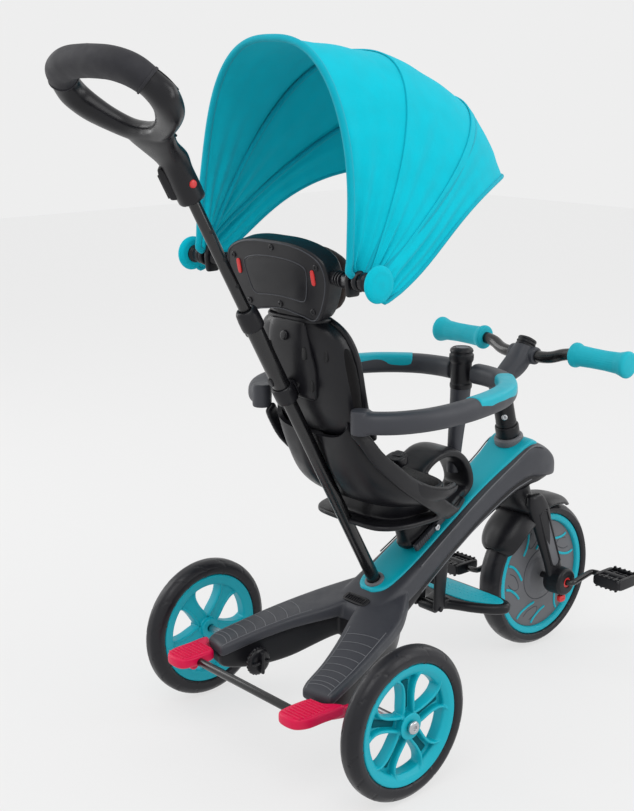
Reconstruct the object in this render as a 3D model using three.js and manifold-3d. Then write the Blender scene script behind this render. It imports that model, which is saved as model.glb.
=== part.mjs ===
// A child's push-along tricycle, in millimetres: +Y forward, +X to the rider's right, +Z up.
// The origin is on the ground, under the middle of the whole object.
import * as THREE from 'three';
import { mergeVertices } from 'three/addons/utils/BufferGeometryUtils.js';
import Module from 'manifold-3d';

const wasm = await Module();
wasm.setup();

// ---------- driving dimensions; y is measured from the rear axle until the last group shifts it ----------
const GAP = 0.35; // between touching pieces
const REAR_R = 103; // rear wheel radius
const REAR_W = 30; // tyre widths
const TRACK = 413; // between the rear wheels' middles
const WHEELBASE = 507;
const FRONT_R = 118;
const FRONT_W = 40;
const CRANK_R = 54;
const CRANK_ANGLE = 8; // degrees that the right crank stands above level
const PEDAL_X = 120;
const STEER_LEAN = 15.4; // degrees that the steering axis leans back
const HEAD = [0, 433, 353]; // where the steering axis leaves the frame's head
const SLOPE = 28.8; // degrees that the spine rises; the push bar leans back by the same angle
const BAR_BASE = [0, 150, 193]; // where the push bar enters the frame
const BAR_SLEEVE_LOW = 339; // distances along the push bar from its base
const BAR_SLEEVE_TOP = 482;
const BAR_NECK = 650;
const LOOP_TILT = 46; // degrees that the handle loop rises towards the rear
const CANOPY_PIVOT = [0, -28, 664];
const SEAT_LEAN = 11.5; // degrees that the backrest leans back
const RING_Z = 476;
const SPAN_Y = [-315.4, 625]; // the object's rearmost and foremost points, from the rear axle

const rad = THREE.MathUtils.degToRad;
const Y_MID = (SPAN_Y[0] + SPAN_Y[1]) / 2;
const HUB = [0, WHEELBASE, FRONT_R];
const STEER_DIR = new THREE.Vector3(0, -Math.sin(rad(STEER_LEAN)), Math.cos(rad(STEER_LEAN)));
const BAR_DIR = new THREE.Vector3(0, -Math.sin(rad(SLOPE)), Math.cos(rad(SLOPE)));
const SPINE_DIR = new THREE.Vector3(0, Math.cos(rad(SLOPE)), Math.sin(rad(SLOPE)));

const vec = ([x, y, z]) => new THREE.Vector3(x, y, z);
const along = (start, direction, distance) => vec(start).addScaledVector(direction, distance).toArray();
const onBar = (distance) => along(BAR_BASE, BAR_DIR, distance);
const onSteering = (distance) => along(HEAD, STEER_DIR, distance);
const mirrorX = ([x, y, z]) => [-x, y, z];

// ---------- geometry helpers ----------
function welded(geometry) {
  const bare = geometry.clone();
  bare.deleteAttribute('normal');
  bare.deleteAttribute('uv');
  return mergeVertices(bare, 1e-3);
}

function solid(geometry) {
  const merged = welded(geometry);
  const triVerts = Uint32Array.from(merged.index.array);
  const vertProperties = Float32Array.from(merged.attributes.position.array);
  return new wasm.Manifold(new wasm.Mesh({ numProp: 3, vertProperties, triVerts }));
}

// The manifold's main body, without the slivers that a cut can leave.
function shape(manifold) {
  const [main] = manifold.decompose().sort((a, b) => b.volume() - a.volume());
  const mesh = main.getMesh();
  const geometry = new THREE.BufferGeometry();
  geometry.setAttribute('position', new THREE.BufferAttribute(mesh.vertProperties, 3));
  geometry.setIndex(new THREE.BufferAttribute(mesh.triVerts, 1));
  return geometry;
}

const join = (...pieces) => shape(pieces.map(solid).reduce((sum, piece) => sum.add(piece)));
const cut = (body, ...tools) => shape(
  tools.map(solid).reduce((rest, tool) => rest.subtract(tool), solid(body)),
);

// Turns the faces out if the volume is negative.
function facingOut(geometry) {
  const merged = welded(geometry);
  const index = merged.index.array;
  const position = merged.attributes.position;
  let volume = 0;
  for (let i = 0; i < index.length; i += 3) {
    const [a, b, c] = [0, 1, 2].map((k) => new THREE.Vector3().fromBufferAttribute(position, index[i + k]));
    volume += a.dot(b.cross(c));
  }
  if (volume < 0) {
    for (let i = 0; i < index.length; i += 3) [index[i], index[i + 1]] = [index[i + 1], index[i]];
  }
  return merged;
}

// A closed body through cross-sections. Each has a centre c, half-width vector u, half-height vector v
// and a squareness n: 2 is an ellipse, and more is squarer.
function loft(sections, around = 20) {
  const steps = sections.length - 1;
  const geometry = new THREE.CylinderGeometry(1, 1, 1, around, steps);
  const position = geometry.attributes.position;
  for (let i = 0; i < position.count; i++) {
    const section = sections[Math.round((0.5 - position.getY(i)) * steps)];
    const { c, u, v, n = 2 } = section;
    const power = (value) => (Math.abs(value) < 1e-9 ? 0 : Math.sign(value) * Math.abs(value) ** (2 / n));
    const point = vec(c)
      .addScaledVector(vec(u), power(position.getX(i)))
      .addScaledVector(vec(v), power(position.getZ(i)));
    position.setXYZ(i, ...point.toArray());
  }
  return facingOut(geometry);
}

function rod(from, to, radius, sides = 16, endRadius = radius) {
  const [a, b] = [vec(from), vec(to)];
  const direction = b.clone().sub(a);
  const geometry = new THREE.CylinderGeometry(endRadius, radius, direction.length(), sides);
  const turn = new THREE.Quaternion().setFromUnitVectors(new THREE.Vector3(0, 1, 0), direction.normalize());
  const middle = a.add(b).multiplyScalar(0.5);
  return geometry.applyQuaternion(turn).translate(...middle.toArray());
}

function tube(points, radius, steps = 24, sides = 10) {
  const curve = new THREE.CatmullRomCurve3(points.map(vec), false, 'centripetal');
  const section = new THREE.Shape(ring(radius, sides));
  return facingOut(new THREE.ExtrudeGeometry(section, { steps, extrudePath: curve }));
}

function ring(radius, sides) {
  return Array.from({ length: sides }, (_, i) => {
    const angle = (2 * Math.PI * i) / sides;
    return new THREE.Vector2(radius * Math.cos(angle), radius * Math.sin(angle));
  });
}

// A turned body on the X axis through centre; the profile holds [radius, x] pairs.
function turnedX(profile, centre, segments = 40) {
  const points = profile.map(([radius, x]) => new THREE.Vector2(radius, x));
  const lathe = new THREE.LatheGeometry(points, segments).rotateZ(-Math.PI / 2).rotateX(Math.PI / segments);
  return facingOut(lathe).translate(...centre);
}

// A turned body on an axis that starts at a point; the profile holds [radius, distance] pairs.
function turnedAlong(profile, start, direction, segments = 28) {
  const points = profile.map(([radius, distance]) => new THREE.Vector2(radius, distance));
  const turn = new THREE.Quaternion().setFromUnitVectors(new THREE.Vector3(0, 1, 0), direction);
  return facingOut(new THREE.LatheGeometry(points, segments)).applyQuaternion(turn).translate(...start);
}

function box([x0, y0, z0], [x1, y1, z1]) {
  const geometry = new THREE.BoxGeometry(x1 - x0, y1 - y0, z1 - z0);
  return geometry.translate((x0 + x1) / 2, (y0 + y1) / 2, (z0 + z1) / 2);
}

// A plate with its outline in XY, from z0 to z1.
function slab(outline, z0, z1) {
  const plan = new THREE.Shape(outline.map(([x, y]) => new THREE.Vector2(x, y)));
  return new THREE.ExtrudeGeometry(plan, { depth: z1 - z0, bevelEnabled: false }).translate(0, 0, z0);
}

const mirroredOutline = (half) => [...half, ...half.map(([x, y]) => [-x, y]).reverse()];
const withX = (geometry) => facingOut(geometry.clone().scale(-1, 1, 1));

// ---------- colours ----------
const finish = (color, roughness, metalness = 0) => (
  new THREE.MeshStandardMaterial({ color, roughness, metalness })
);
const TEAL = '#00a5b8';
const GREY = '#3d3e44';
const BLACK = '#17171a';
const RED = '#cc0a37';
const LOOKS = {
  teal: () => finish(TEAL, 0.45),
  grey: () => finish(GREY, 0.6),
  black: () => finish(BLACK, 0.4),
  rubber: () => finish('#202124', 0.85),
  red: () => finish(RED, 0.4),
  metal: () => finish('#141416', 0.3, 0.6),
  steel: () => finish('#a8abb0', 0.3, 1),
  fabric: () => finish('#00b7cd', 0.9),
  padding: () => finish('#1c1a1a', 0.95),
};

const tricycle = new THREE.Group();
const assembly = new THREE.Group();
assembly.position.y = -Y_MID;
tricycle.add(assembly);

function add(name, look, geometry) {
  const clean = facingOut(geometry);
  clean.computeVertexNormals();
  const mesh = new THREE.Mesh(clean, LOOKS[look]());
  mesh.name = name;
  assembly.add(mesh);
}

// ---------- frame ----------
// Spine stations: [y, top, half-width, depth of the upper shell, bottom of the lower shell, its half-width].
const SPINE = [
  [98, 170, 40, 30, 116, 28],
  [150, 194, 45, 40, 118, 32],
  [200, 221, 43, 46, 148, 30],
  [270, 260, 39, 44, 196, 28],
  [340, 298, 37, 44, 236, 28],
  [400, 331, 39, 48, 264, 30],
  [440, 353, 42, 58, 278, 33],
  [472, 346, 41, 56, 281, 33],
  [502, 326, 34, 40, 285, 26],
  [524, 300, 18, 18, 288, 13],
];
// Rear arm stations for the right side:
// [x, y, top, half-width, depth, bottom of the lower shell, its half-width].
const ARM = [
  [20, 160, 190, 28, 36, 126, 9],
  [50, 104, 171, 36, 32, 116, 25],
  [76, 44, 156, 31, 28, 92, 22],
  [93, -6, 143, 27, 26, 86, 21],
  [103, -46, 133, 25, 24, 92, 19],
  [106, -62, 125, 19, 14, 106, 12],
];
const SQUARE = 4;

function spineShell(grow = 0) {
  return loft(SPINE.map(([y, top, half, depth]) => ({
    c: [0, y, top - depth / 2], u: [half + grow, 0, 0], v: [0, 0, depth / 2 + grow], n: SQUARE,
  })), 16);
}

function armSections(side, section) {
  return ARM.map((station, i) => {
    const [x0, y0] = ARM[Math.max(i - 1, 0)];
    const [x1, y1] = ARM[Math.min(i + 1, ARM.length - 1)];
    const across = new THREE.Vector3(y0 - y1, x1 - x0, 0).normalize();
    const { half, low, high } = section(station);
    return {
      c: [side * station[0], station[1], (low + high) / 2],
      u: [across.x * half, side * across.y * half, 0],
      v: [0, 0, (high - low) / 2],
      n: SQUARE,
    };
  });
}

function armShell(side, grow = 0) {
  return loft(armSections(side, ([, , top, half, depth]) => ({
    half: half + grow, low: top - depth - grow, high: top + grow,
  })), 16);
}

function armUnderside(side) {
  return loft(armSections(side, ([, , top, , depth, bottom, half]) => ({
    half, low: bottom, high: top - depth / 2,
  })).slice(0, -1), 12);
}

const spineUnderside = loft(SPINE.map(([y, top, , depth, bottom, half]) => ({
  c: [0, y, (top - depth / 2 + bottom) / 2],
  u: [half, 0, 0],
  v: [0, 0, (top - depth / 2 - bottom) / 2],
  n: SQUARE,
})), 12);

const COLUMN_R = 16;
const BAR_R = 9.5;
const AXLE_R = 5;
const columnBore = rod(onSteering(-110), onSteering(40), COLUMN_R + 0.5, 18);
const barBore = rod(onBar(-60), onBar(60), BAR_R + GAP, 16);
const axleBores = [1, -1].map((sign) => rod([sign * 85, 0, REAR_R], [sign * 160, 0, REAR_R], AXLE_R + GAP, 12));
const CLAMP_Y = 240;
const clampSeatZ = (y) => 185 + (y - 134) * Math.tan(rad(SLOPE));

// The teal strip on the spine: a shallow cap over its top, from the push bar to round the column.
const COVER = [
  [136, 14], [150, 27], [200, 31], [270, 30], [340, 28], [400, 31], [440, 36], [462, 33], [472, 20],
];
const topAt = (y) => {
  const i = Math.max(1, SPINE.findIndex(([station]) => station >= y));
  const [a, b] = [SPINE[i - 1], SPINE[i]];
  return a[1] + ((b[1] - a[1]) * (y - a[0])) / (b[0] - a[0]);
};
const coverBlank = loft(COVER.map(([y, half]) => ({
  c: [0, y, topAt(y) - 3], u: [half, 0, 0], v: [0, 0, 7.5], n: 3.4,
})), 14);
const coverPocket = loft(COVER.map(([y, half], i) => ({
  c: [0, y + (i === 0 ? -0.6 : 0) + (i === COVER.length - 1 ? 0.6 : 0), topAt(y) - 3],
  u: [half + GAP, 0, 0], v: [0, 0, 7.5 + GAP], n: 3.4,
})), 14);

const upperShell = join(spineShell(), armShell(1), armShell(-1));
add('frame_shell', 'grey', cut(upperShell, coverPocket, columnBore, barBore));
add('spine_cover', 'teal', cut(coverBlank, rod(onSteering(-30), onSteering(40), 21.4, 18), barBore));

// The footrest's two lugs hang from the lower shell.
const REST_HINGE = [0, 262, 127];
const lug = (side) => loft([
  { c: [side * 20, 266, 214], u: [4, 0, 0], v: [0, 14, 0], n: 3 },
  { c: [side * 20, 263, 160], u: [3.5, 0, 0], v: [0, 11, 0], n: 3 },
  { c: [side * 20, 262, 120], u: [3.5, 0, 0], v: [0, 9, 0], n: 3 },
], 12);
const restPinBore = rod([-40, REST_HINGE[1], REST_HINGE[2]], [40, REST_HINGE[1], REST_HINGE[2]], 4 + GAP, 14);
add('frame_underside', 'black', cut(
  join(spineUnderside, armUnderside(1), armUnderside(-1), lug(1), lug(-1)),
  spineShell(GAP), armShell(1, GAP), armShell(-1, GAP), coverPocket, columnBore, barBore,
  ...axleBores, restPinBore,
));
add('head_trim_ring', 'grey', turnedAlong(
  [[COLUMN_R + 0.6, -4], [21, -4], [21, 5], [19, 7], [COLUMN_R + 0.6, 7], [COLUMN_R + 0.6, -4]],
  HEAD, STEER_DIR, 18,
));

// ---------- rear wheels, axle and brake ----------
const FACETS = 32;
const facetRadius = (radius) => radius / Math.cos(Math.PI / FACETS); // so that a flat facet is at the radius
function tyre(radius, bore, width, centre) {
  const half = width / 2;
  const profile = [[bore, -half + 3], [bore + 8, -half], [radius - 9, -half], [radius, -half * 0.4],
    [radius, half * 0.4], [radius - 9, half], [bore + 8, half], [bore, half - 3], [bore, -half + 3]];
  return turnedX(profile.map(([r, x]) => [facetRadius(r), x]), centre, FACETS);
}

const RIM_R = 82;
function rearRim(x) {
  const centre = [x, 0, REAR_R];
  const outer = RIM_R - GAP;
  const hoop = turnedX([[70, -11], [outer, -11], [outer, 11], [70, 11], [70, -11]]
    .map(([r, h]) => [facetRadius(r), h]), centre, FACETS);
  const hub = rod([x - 14, 0, REAR_R], [x + 14, 0, REAR_R], 19, 16);
  const spokes = Array.from({ length: 5 }, (_, i) => {
    const angle = rad(90 + 72 * i);
    const out = [0, Math.cos(angle), Math.sin(angle)];
    const side = [0, -Math.sin(angle), Math.cos(angle)];
    const section = (r, half, thick) => ({
      c: [x, out[1] * r, REAR_R + out[2] * r], u: side.map((value) => value * half), v: [thick, 0, 0], n: 4,
    });
    return loft([section(10, 13, 11), section(40, 12, 9), section(74, 15, 8)], 8);
  });
  return cut(join(hoop, hub, ...spokes), rod([x - 30, 0, REAR_R], [x + 30, 0, REAR_R], AXLE_R + GAP, 12));
}

const SIDES = { left: -1, right: 1 };
for (const [side, sign] of Object.entries(SIDES)) {
  const x = (sign * TRACK) / 2;
  add(`rear_tyre_${side}`, 'rubber', tyre(REAR_R, RIM_R, REAR_W, [x, 0, REAR_R]));
  add(`rear_rim_${side}`, 'teal', rearRim(x));
}
const AXLE_END = TRACK / 2 + 14 + 1;
const AXLE_START = 86;
for (const [side, sign] of Object.entries(SIDES)) {
  add(`rear_axle_${side}`, 'steel', join(
    rod([sign * AXLE_START, 0, REAR_R], [sign * (AXLE_END + 2), 0, REAR_R], AXLE_R, 12),
    rod([sign * AXLE_END, 0, REAR_R], [sign * (AXLE_END + 5), 0, REAR_R], 9, 12),
  ));
}

const BRAKE_BAR = [-92, 110]; // y and z of the bar between the two brake pedals
function brakePedal(sign) {
  const pad = loft([
    { c: [sign * 117, -66, 112], u: [24, 0, 0], v: [0, 0, 5], n: 4 },
    { c: [sign * 117, -80, 110], u: [27, 0, 0], v: [0, 0, 9], n: 4 },
    { c: [sign * 117, -104, 107], u: [27, 0, 0], v: [0, 0, 9], n: 4 },
    { c: [sign * 117, -120, 106], u: [22, 0, 0], v: [0, 0, 5], n: 4 },
  ], 12);
  const lever = loft([
    { c: [sign * 138, -90, 109], u: [5, 0, 0], v: [0, 0, 7], n: 4 },
    { c: [sign * 138, -40, 104], u: [5, 0, 0], v: [0, 0, 8], n: 4 },
    { c: [sign * 138, 0, REAR_R], u: [5, 0, 0], v: [0, 0, 10], n: 4 },
  ], 8);
  const eye = rod([sign * 133, 0, REAR_R], [sign * 143, 0, REAR_R], 12, 14);
  const barHole = rod([sign * 80, ...BRAKE_BAR], [sign * 108, ...BRAKE_BAR], 5 + GAP, 10);
  return cut(join(pad, lever, eye), ...axleBores, barHole);
}
for (const [side, sign] of Object.entries(SIDES)) add(`brake_pedal_${side}`, 'red', brakePedal(sign));
add('brake_bar', 'black', rod([-107, ...BRAKE_BAR], [107, ...BRAKE_BAR], 5, 10));

// A turn knob on the inner side of the left arm.
const KNOB = [-62, -22, 104];
add('arm_knob', 'black', join(
  rod([KNOB[0], KNOB[1], KNOB[2]], [KNOB[0] + 9, KNOB[1], KNOB[2]], 19, 16),
  box([KNOB[0] + 8, KNOB[1] - 4, KNOB[2] - 17], [KNOB[0] + 18, KNOB[1] + 4, KNOB[2] + 17]),
));

// ---------- steering ----------
const LEG_X = [33, 46]; // at the crown and at the hub
const legSection = (sign, t, fore, thick) => {
  const top = [sign * LEG_X[0], 466, 250];
  const foot = [sign * LEG_X[1], HUB[1], HUB[2]];
  return {
    c: vec(top).lerp(vec(foot), t).toArray(), u: [thick, 0, 0], v: [0, fore, 0], n: 3.5,
  };
};
const leg = (sign) => loft([
  legSection(sign, 0, 22, 8), legSection(sign, 0.35, 18, 8),
  legSection(sign, 0.75, 16, 8), legSection(sign, 1.12, 15, 8),
], 10);
const crown = loft([
  { c: onSteering(-113), u: [41, 0, 0], v: [0, 26, 0], n: 4 },
  { c: onSteering(-99), u: [34, 0, 0], v: [0, 26, 0], n: 3 },
  { c: onSteering(-88), u: [22, 0, 0], v: [0, 21, 0], n: 2.2 },
], 16);
const spindle = rod(onSteering(-96), onSteering(-74), 12, 14);
const FRONT_AXLE_R = 6;
const frontAxleBore = rod([-70, HUB[1], HUB[2]], [70, HUB[1], HUB[2]], FRONT_AXLE_R + 0.5, 12);
const fork = cut(join(crown, spindle, leg(1), leg(-1)), frontAxleBore);
add('fork', 'black', fork);

const onHub = (angle, radius) => [
  0, HUB[1] + radius * Math.cos(rad(angle)), HUB[2] + radius * Math.sin(rad(angle)),
];
const fenderSection = (angle, radius, half, thick) => {
  const out = [0, Math.cos(rad(angle)), Math.sin(rad(angle))];
  return { c: onHub(angle, radius), u: [half, 0, 0], v: out.map((value) => value * thick), n: 3 };
};
const forkClearance = [
  loft([legSection(1, -0.2, 24, 9), legSection(1, 0.35, 20, 9), legSection(1, 0.6, 18, 9)], 10),
  loft([legSection(-1, -0.2, 24, 9), legSection(-1, 0.35, 20, 9), legSection(-1, 0.6, 18, 9)], 10),
  loft([
    { c: onSteering(-114.5), u: [42, 0, 0], v: [0, 27.2, 0], n: 4 },
    { c: onSteering(-99), u: [35.2, 0, 0], v: [0, 27.2, 0], n: 3 },
    { c: onSteering(-86), u: [23.6, 0, 0], v: [0, 22.6, 0], n: 2.2 },
  ], 16),
];
add('fender', 'black', cut(loft([
  fenderSection(68, 124.5, 24, 2), fenderSection(76, 125.5, 32, 3), fenderSection(94, 126.5, 35, 4),
  fenderSection(114, 127, 36, 4), fenderSection(130, 127, 35, 4), fenderSection(140, 126.5, 32, 3.5),
  fenderSection(146, 125.5, 24, 2.5),
], 12), ...forkClearance));

add('steering_column', 'metal', cut(
  rod(onSteering(-82), onSteering(82), COLUMN_R, 18), rod(onSteering(-83), onSteering(-73.5), 12.5, 14),
));
const BAR_CENTRE = [0, 462, 483];
const HANDLEBAR_R = 9;
const GRIP_Y = 472;
const GRIP_Z = 494;
const barHalf = [[18, BAR_CENTRE[1], BAR_CENTRE[2]], [38, 464, 484], [62, 470, 491], [88, GRIP_Y, GRIP_Z],
  [130, GRIP_Y, GRIP_Z], [178, GRIP_Y, GRIP_Z]];
const barPath = [...barHalf.map(mirrorX).reverse(), ...barHalf];
const barBoreX = rod([-40, BAR_CENTRE[1], BAR_CENTRE[2]], [40, BAR_CENTRE[1], BAR_CENTRE[2]], 10.5, 14);
const steerAcross = (half) => [0, half * Math.cos(rad(STEER_LEAN)), half * Math.sin(rad(STEER_LEAN))];
const stemBody = loft([
  { c: onSteering(82.6), u: [19, 0, 0], v: steerAcross(19), n: 2.4 },
  { c: onSteering(96), u: [19, 0, 0], v: [0, 20, 0], n: 2.4 },
  { c: [0, 430, 460], u: [19, 0, 0], v: [0, 18, -8], n: 2.6 },
  { c: [0, 452, 480], u: [18, 0, 0], v: [0, 15, -12], n: 2.8 },
  { c: [0, 468, 497], u: [14, 0, 0], v: [0, 12, -10], n: 2.6 },
], 16);
add('stem', 'grey', cut(stemBody, barBoreX));
add('handlebar', 'metal', tube(barPath, HANDLEBAR_R, 30, 10));
for (const [side, sign] of Object.entries(SIDES)) {
  const profile = [[0, 187], [16, 187], [19, 184], [19, 179], [15.5, 170], [14.5, 140], [15.5, 104], [18.5, 94],
    [18.5, 88], [9.6, 88], [9.6, 179], [0, 179]].map(([r, x]) => [r, sign * x]);
  add(`grip_${side}`, 'teal', turnedX(profile, [0, GRIP_Y, GRIP_Z], 16));
}

// ---------- front wheel, cranks and pedals ----------
const FRONT_BORE = 100;
add('front_tyre', 'rubber', tyre(FRONT_R, FRONT_BORE, FRONT_W, HUB));
const frontOuter = FRONT_BORE - GAP;
add('front_rim', 'teal', turnedX([
  [FRONT_AXLE_R + GAP, -18], [16, -18], [22, -9], [80, -9], [88, -14], [frontOuter, -14],
  [frontOuter, 14], [88, 14], [80, 9], [22, 9], [16, 18], [FRONT_AXLE_R + GAP, 18], [FRONT_AXLE_R + GAP, -18]]
  .map(([r, x]) => [facetRadius(r), x]), HUB, FACETS));
const crankEnd = (sign) => {
  const angle = rad(CRANK_ANGLE);
  return [0, HUB[1] + sign * CRANK_R * Math.cos(angle), HUB[2] + sign * CRANK_R * Math.sin(angle)];
};
const CRANK_X = [71, 79];
function crank(sign) {
  const [, y, z] = crankEnd(sign);
  const [x0, x1] = CRANK_X.map((x) => sign * x);
  const out = vec([0, y - HUB[1], z - HUB[2]]).normalize();
  const side = [0, -out.z * 9, out.y * 9];
  const middle = (x0 + x1) / 2;
  const arm = loft([
    { c: [middle, HUB[1], HUB[2]], u: side, v: [4, 0, 0], n: 4 },
    { c: [middle, y, z], u: side, v: [4, 0, 0], n: 4 },
  ], 8);
  const eye = rod([x0, y, z], [x1, y, z], 10, 12);
  const boss = rod([x0, HUB[1], HUB[2]], [x1, HUB[1], HUB[2]], 12, 12);
  const spindleRod = rod([x0, y, z], [sign * (PEDAL_X + 22), y, z], 5, 10);
  return [arm, eye, boss, spindleRod];
}
add('crank_axle', 'metal', join(
  rod([-74, HUB[1], HUB[2]], [74, HUB[1], HUB[2]], FRONT_AXLE_R, 12), ...crank(1), ...crank(-1),
));
for (const [side, sign] of Object.entries(SIDES)) {
  const x = sign * PEDAL_X;
  const [, y, z] = crankEnd(sign);
  const block = loft([
    { c: [x - 26, y, z], u: [0, 22, 0], v: [0, 0, 9], n: 5 },
    { c: [x - 21, y, z], u: [0, 27, 0], v: [0, 0, 11], n: 5 },
    { c: [x + 21, y, z], u: [0, 27, 0], v: [0, 0, 11], n: 5 },
    { c: [x + 26, y, z], u: [0, 22, 0], v: [0, 0, 9], n: 5 },
  ], 12);
  add(`pedal_${side}`, 'black', cut(block, rod([x - 50, y, z], [x + 50, y, z], 5.5, 12)));
  const cap = [[FRONT_AXLE_R + 0.6, 55.6], [19, 55.6], [20, 58], [19, 65], [14, 68], [FRONT_AXLE_R + 0.6, 68],
    [FRONT_AXLE_R + 0.6, 55.6]].map(([r, h]) => [r, sign * h]);
  add(`hub_cap_${side}`, 'black', turnedX(cap, HUB, 16));
}
add('clutch_tab', 'red', box([55, HUB[1] - 10, HUB[2] - 33], [62, HUB[1] + 4, HUB[2] - 22]));

// ---------- footrest ----------
const REST_TOP = 134;
const restHalf = [[14, 268], [18, 280], [52, 298], [80, 318], [92, 336], [86, 349], [66, 355], [20, 356]];
add('footrest', 'black', join(
  slab(mirroredOutline(restHalf), REST_TOP - 13, REST_TOP),
  rod([-15.5, REST_HINGE[1], REST_HINGE[2]], [15.5, REST_HINGE[1], REST_HINGE[2]], 8, 12),
  rod([-26, REST_HINGE[1], REST_HINGE[2]], [26, REST_HINGE[1], REST_HINGE[2]], 4, 10),
));

// ---------- seat ----------
const clampMiddle = [0, CLAMP_Y, clampSeatZ(CLAMP_Y)];
const clampAt = (forward, up, x = 0) => vec(clampMiddle)
  .addScaledVector(SPINE_DIR, forward).addScaledVector(BAR_DIR, up).setX(x).toArray();
const stadium = (up, half, wide) => ({
  c: clampAt(0, up), u: [wide, 0, 0], v: SPINE_DIR.clone().multiplyScalar(half).toArray(), n: 2.8,
});
const SADDLE_BOTTOM = 298;
const saddleCut = box([-60, 150, SADDLE_BOTTOM - GAP], [60, 340, SADDLE_BOTTOM + 80]);
const clampBlank = loft([stadium(5.2, 36, 17), stadium(14, 36, 17), stadium(70, 26, 15)], 16);
add('seat_clamp', 'black', cut(clampBlank, saddleCut));
const lever = loft([
  { c: clampAt(36, 13, 23), u: [4, 0, 0], v: BAR_DIR.clone().multiplyScalar(6).toArray(), n: 4 },
  { c: clampAt(0, 12, 23), u: [4.5, 0, 0], v: BAR_DIR.clone().multiplyScalar(5).toArray(), n: 4 },
  { c: clampAt(-34, 11, 24), u: [4, 0, 0], v: BAR_DIR.clone().multiplyScalar(6).toArray(), n: 4 },
], 12);
add('clamp_lever', 'grey', lever);

const saddleHalf = [
  [40, 88], [66, 98], [80, 122], [84, 160], [83, 196], [76, 220], [58, 250], [34, 292], [20, 320],
];
const saddleBlank = slab(mirroredOutline(saddleHalf), SADDLE_BOTTOM, 326);
add('saddle', 'black', cut(saddleBlank, coverPocket, rod(onBar(60), onBar(220), 12, 14)));

// Bucket stations along y: [y, floor, rim, half-width].
const BUCKET = [
  [46, 392, 446, 78], [72, 354, 412, 90], [110, 334, 380, 97], [150, 328, 356, 98], [190, 327, 346, 92],
  [222, 327, 342, 76],
];
const bucketOuter = loft(BUCKET.map(([y, floor, rim, half]) => ({
  c: [0, y, (floor + rim) / 2], u: [half, 0, 0], v: [0, 0, (rim - floor) / 2], n: 3.6,
})), 18);
const bucketInner = loft(BUCKET.map(([y, floor, rim, half], i) => ({
  c: [0, y + (i === 0 ? 10 : 0) + (i === BUCKET.length - 1 ? 20 : 0), (floor + 9 + rim + 60) / 2],
  u: [half - 9, 0, 0], v: [0, 0, (rim + 60 - floor - 9) / 2], n: 3.6,
})), 18);
const barChannel = rod(onBar(90), onBar(420), 16, 14);
const bucketBack = box([-200, 0, 428], [200, 76, 520]);
const bucketShell = cut(bucketOuter, bucketInner, barChannel, bucketBack);
add('bucket_shell', 'grey', bucketShell);

// Backrest stations along z: [z, half-width, depth, how far the sides wrap].
const seatBack = (z) => -38 + (699 - z) * Math.tan(rad(SEAT_LEAN));
const BACKREST = [
  [432, 76, 30, 26], [450, 82, 34, 16], [490, 84, 36, 4], [540, 83, 36, 3], [576, 78, 33, 2], [600, 60, 28, 2],
];
const backBlank = loft(BACKREST.map(([z, half, depth, ahead]) => ({
  c: [0, seatBack(z) + ahead + depth / 2, z], u: [half, 0, 0], v: [0, depth / 2, 0], n: 3.2,
})), 18);
const backHollow = loft(BACKREST.map(([z, half, depth, ahead], i) => ({
  c: [0, seatBack(z) + ahead + 12 + depth, z + (i === 0 ? -5 : 0) + (i === BACKREST.length - 1 ? -9 : 0)],
  u: [half - 9, 0, 0], v: [0, depth, 0], n: 3.2,
})), 18);
// The headrest's guide slides in a slot at the top of the backrest.
const leanUp = new THREE.Vector3(0, -Math.sin(rad(SEAT_LEAN)), Math.cos(rad(SEAT_LEAN)));
const leanAcross = [0, Math.cos(rad(SEAT_LEAN)), Math.sin(rad(SEAT_LEAN))];
const guideAt = (up) => along([0, seatBack(600) + 9, 600], leanUp, up);
const guide = (from, to, half, thick) => loft([from, to].map((up) => ({
  c: guideAt(up), u: [half, 0, 0], v: leanAcross.map((value) => value * thick), n: 6,
})), 12);
const backrestShell = cut(backBlank, backHollow, barChannel, guide(-92, 40, 26.5, 4.5));
add('backrest_shell', 'grey', backrestShell);

// Soft liner: a back cushion and a seat cushion as one body.
const PAD_BACK = [
  [418, 66, 16, 32], [450, 70, 20, 24], [520, 72, 20, 17], [572, 66, 18, 16], [588, 52, 12, 16],
];
const padBack = loft(PAD_BACK.map(([z, half, depth, ahead]) => ({
  c: [0, seatBack(z) + ahead + depth / 2 + 1, z], u: [half, 0, 0], v: [0, depth / 2, 0], n: 3,
})), 14);
const PAD_SEAT = [[84, 82, 384, 34], [120, 86, 362, 26], [160, 86, 350, 20], [202, 80, 344, 14]];
const padSeat = loft(PAD_SEAT.map(([y, half, middle, thick]) => ({
  c: [0, y, middle], u: [half - 6, 0, 0], v: [0, 0, thick / 2 + 2], n: 3,
})), 14);
const padJoint = loft([
  { c: [0, 60, 432], u: [66, 0, 0], v: [0, 10, 0], n: 3 },
  { c: [0, 84, 392], u: [74, 0, 0], v: [0, 14, 0], n: 3 },
], 14);
const NUDGES = [[0, 0.7, 0.7], [0.7, 0, 0], [-0.7, 0, 0]];
const nudged = (geometry) => NUDGES.map((step) => geometry.clone().translate(...step));
const padBlank = join(padBack, padSeat, padJoint);
add('seat_pad', 'padding', cut(padBlank, ...nudged(bucketShell), ...nudged(backrestShell)));
add('harness_buckle', 'black', box([-16, 176, 359.2], [16, 202, 379]));
add('recline_button', 'red', rod([83, 40, 440], [90, 40, 440], 6, 12));

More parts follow.
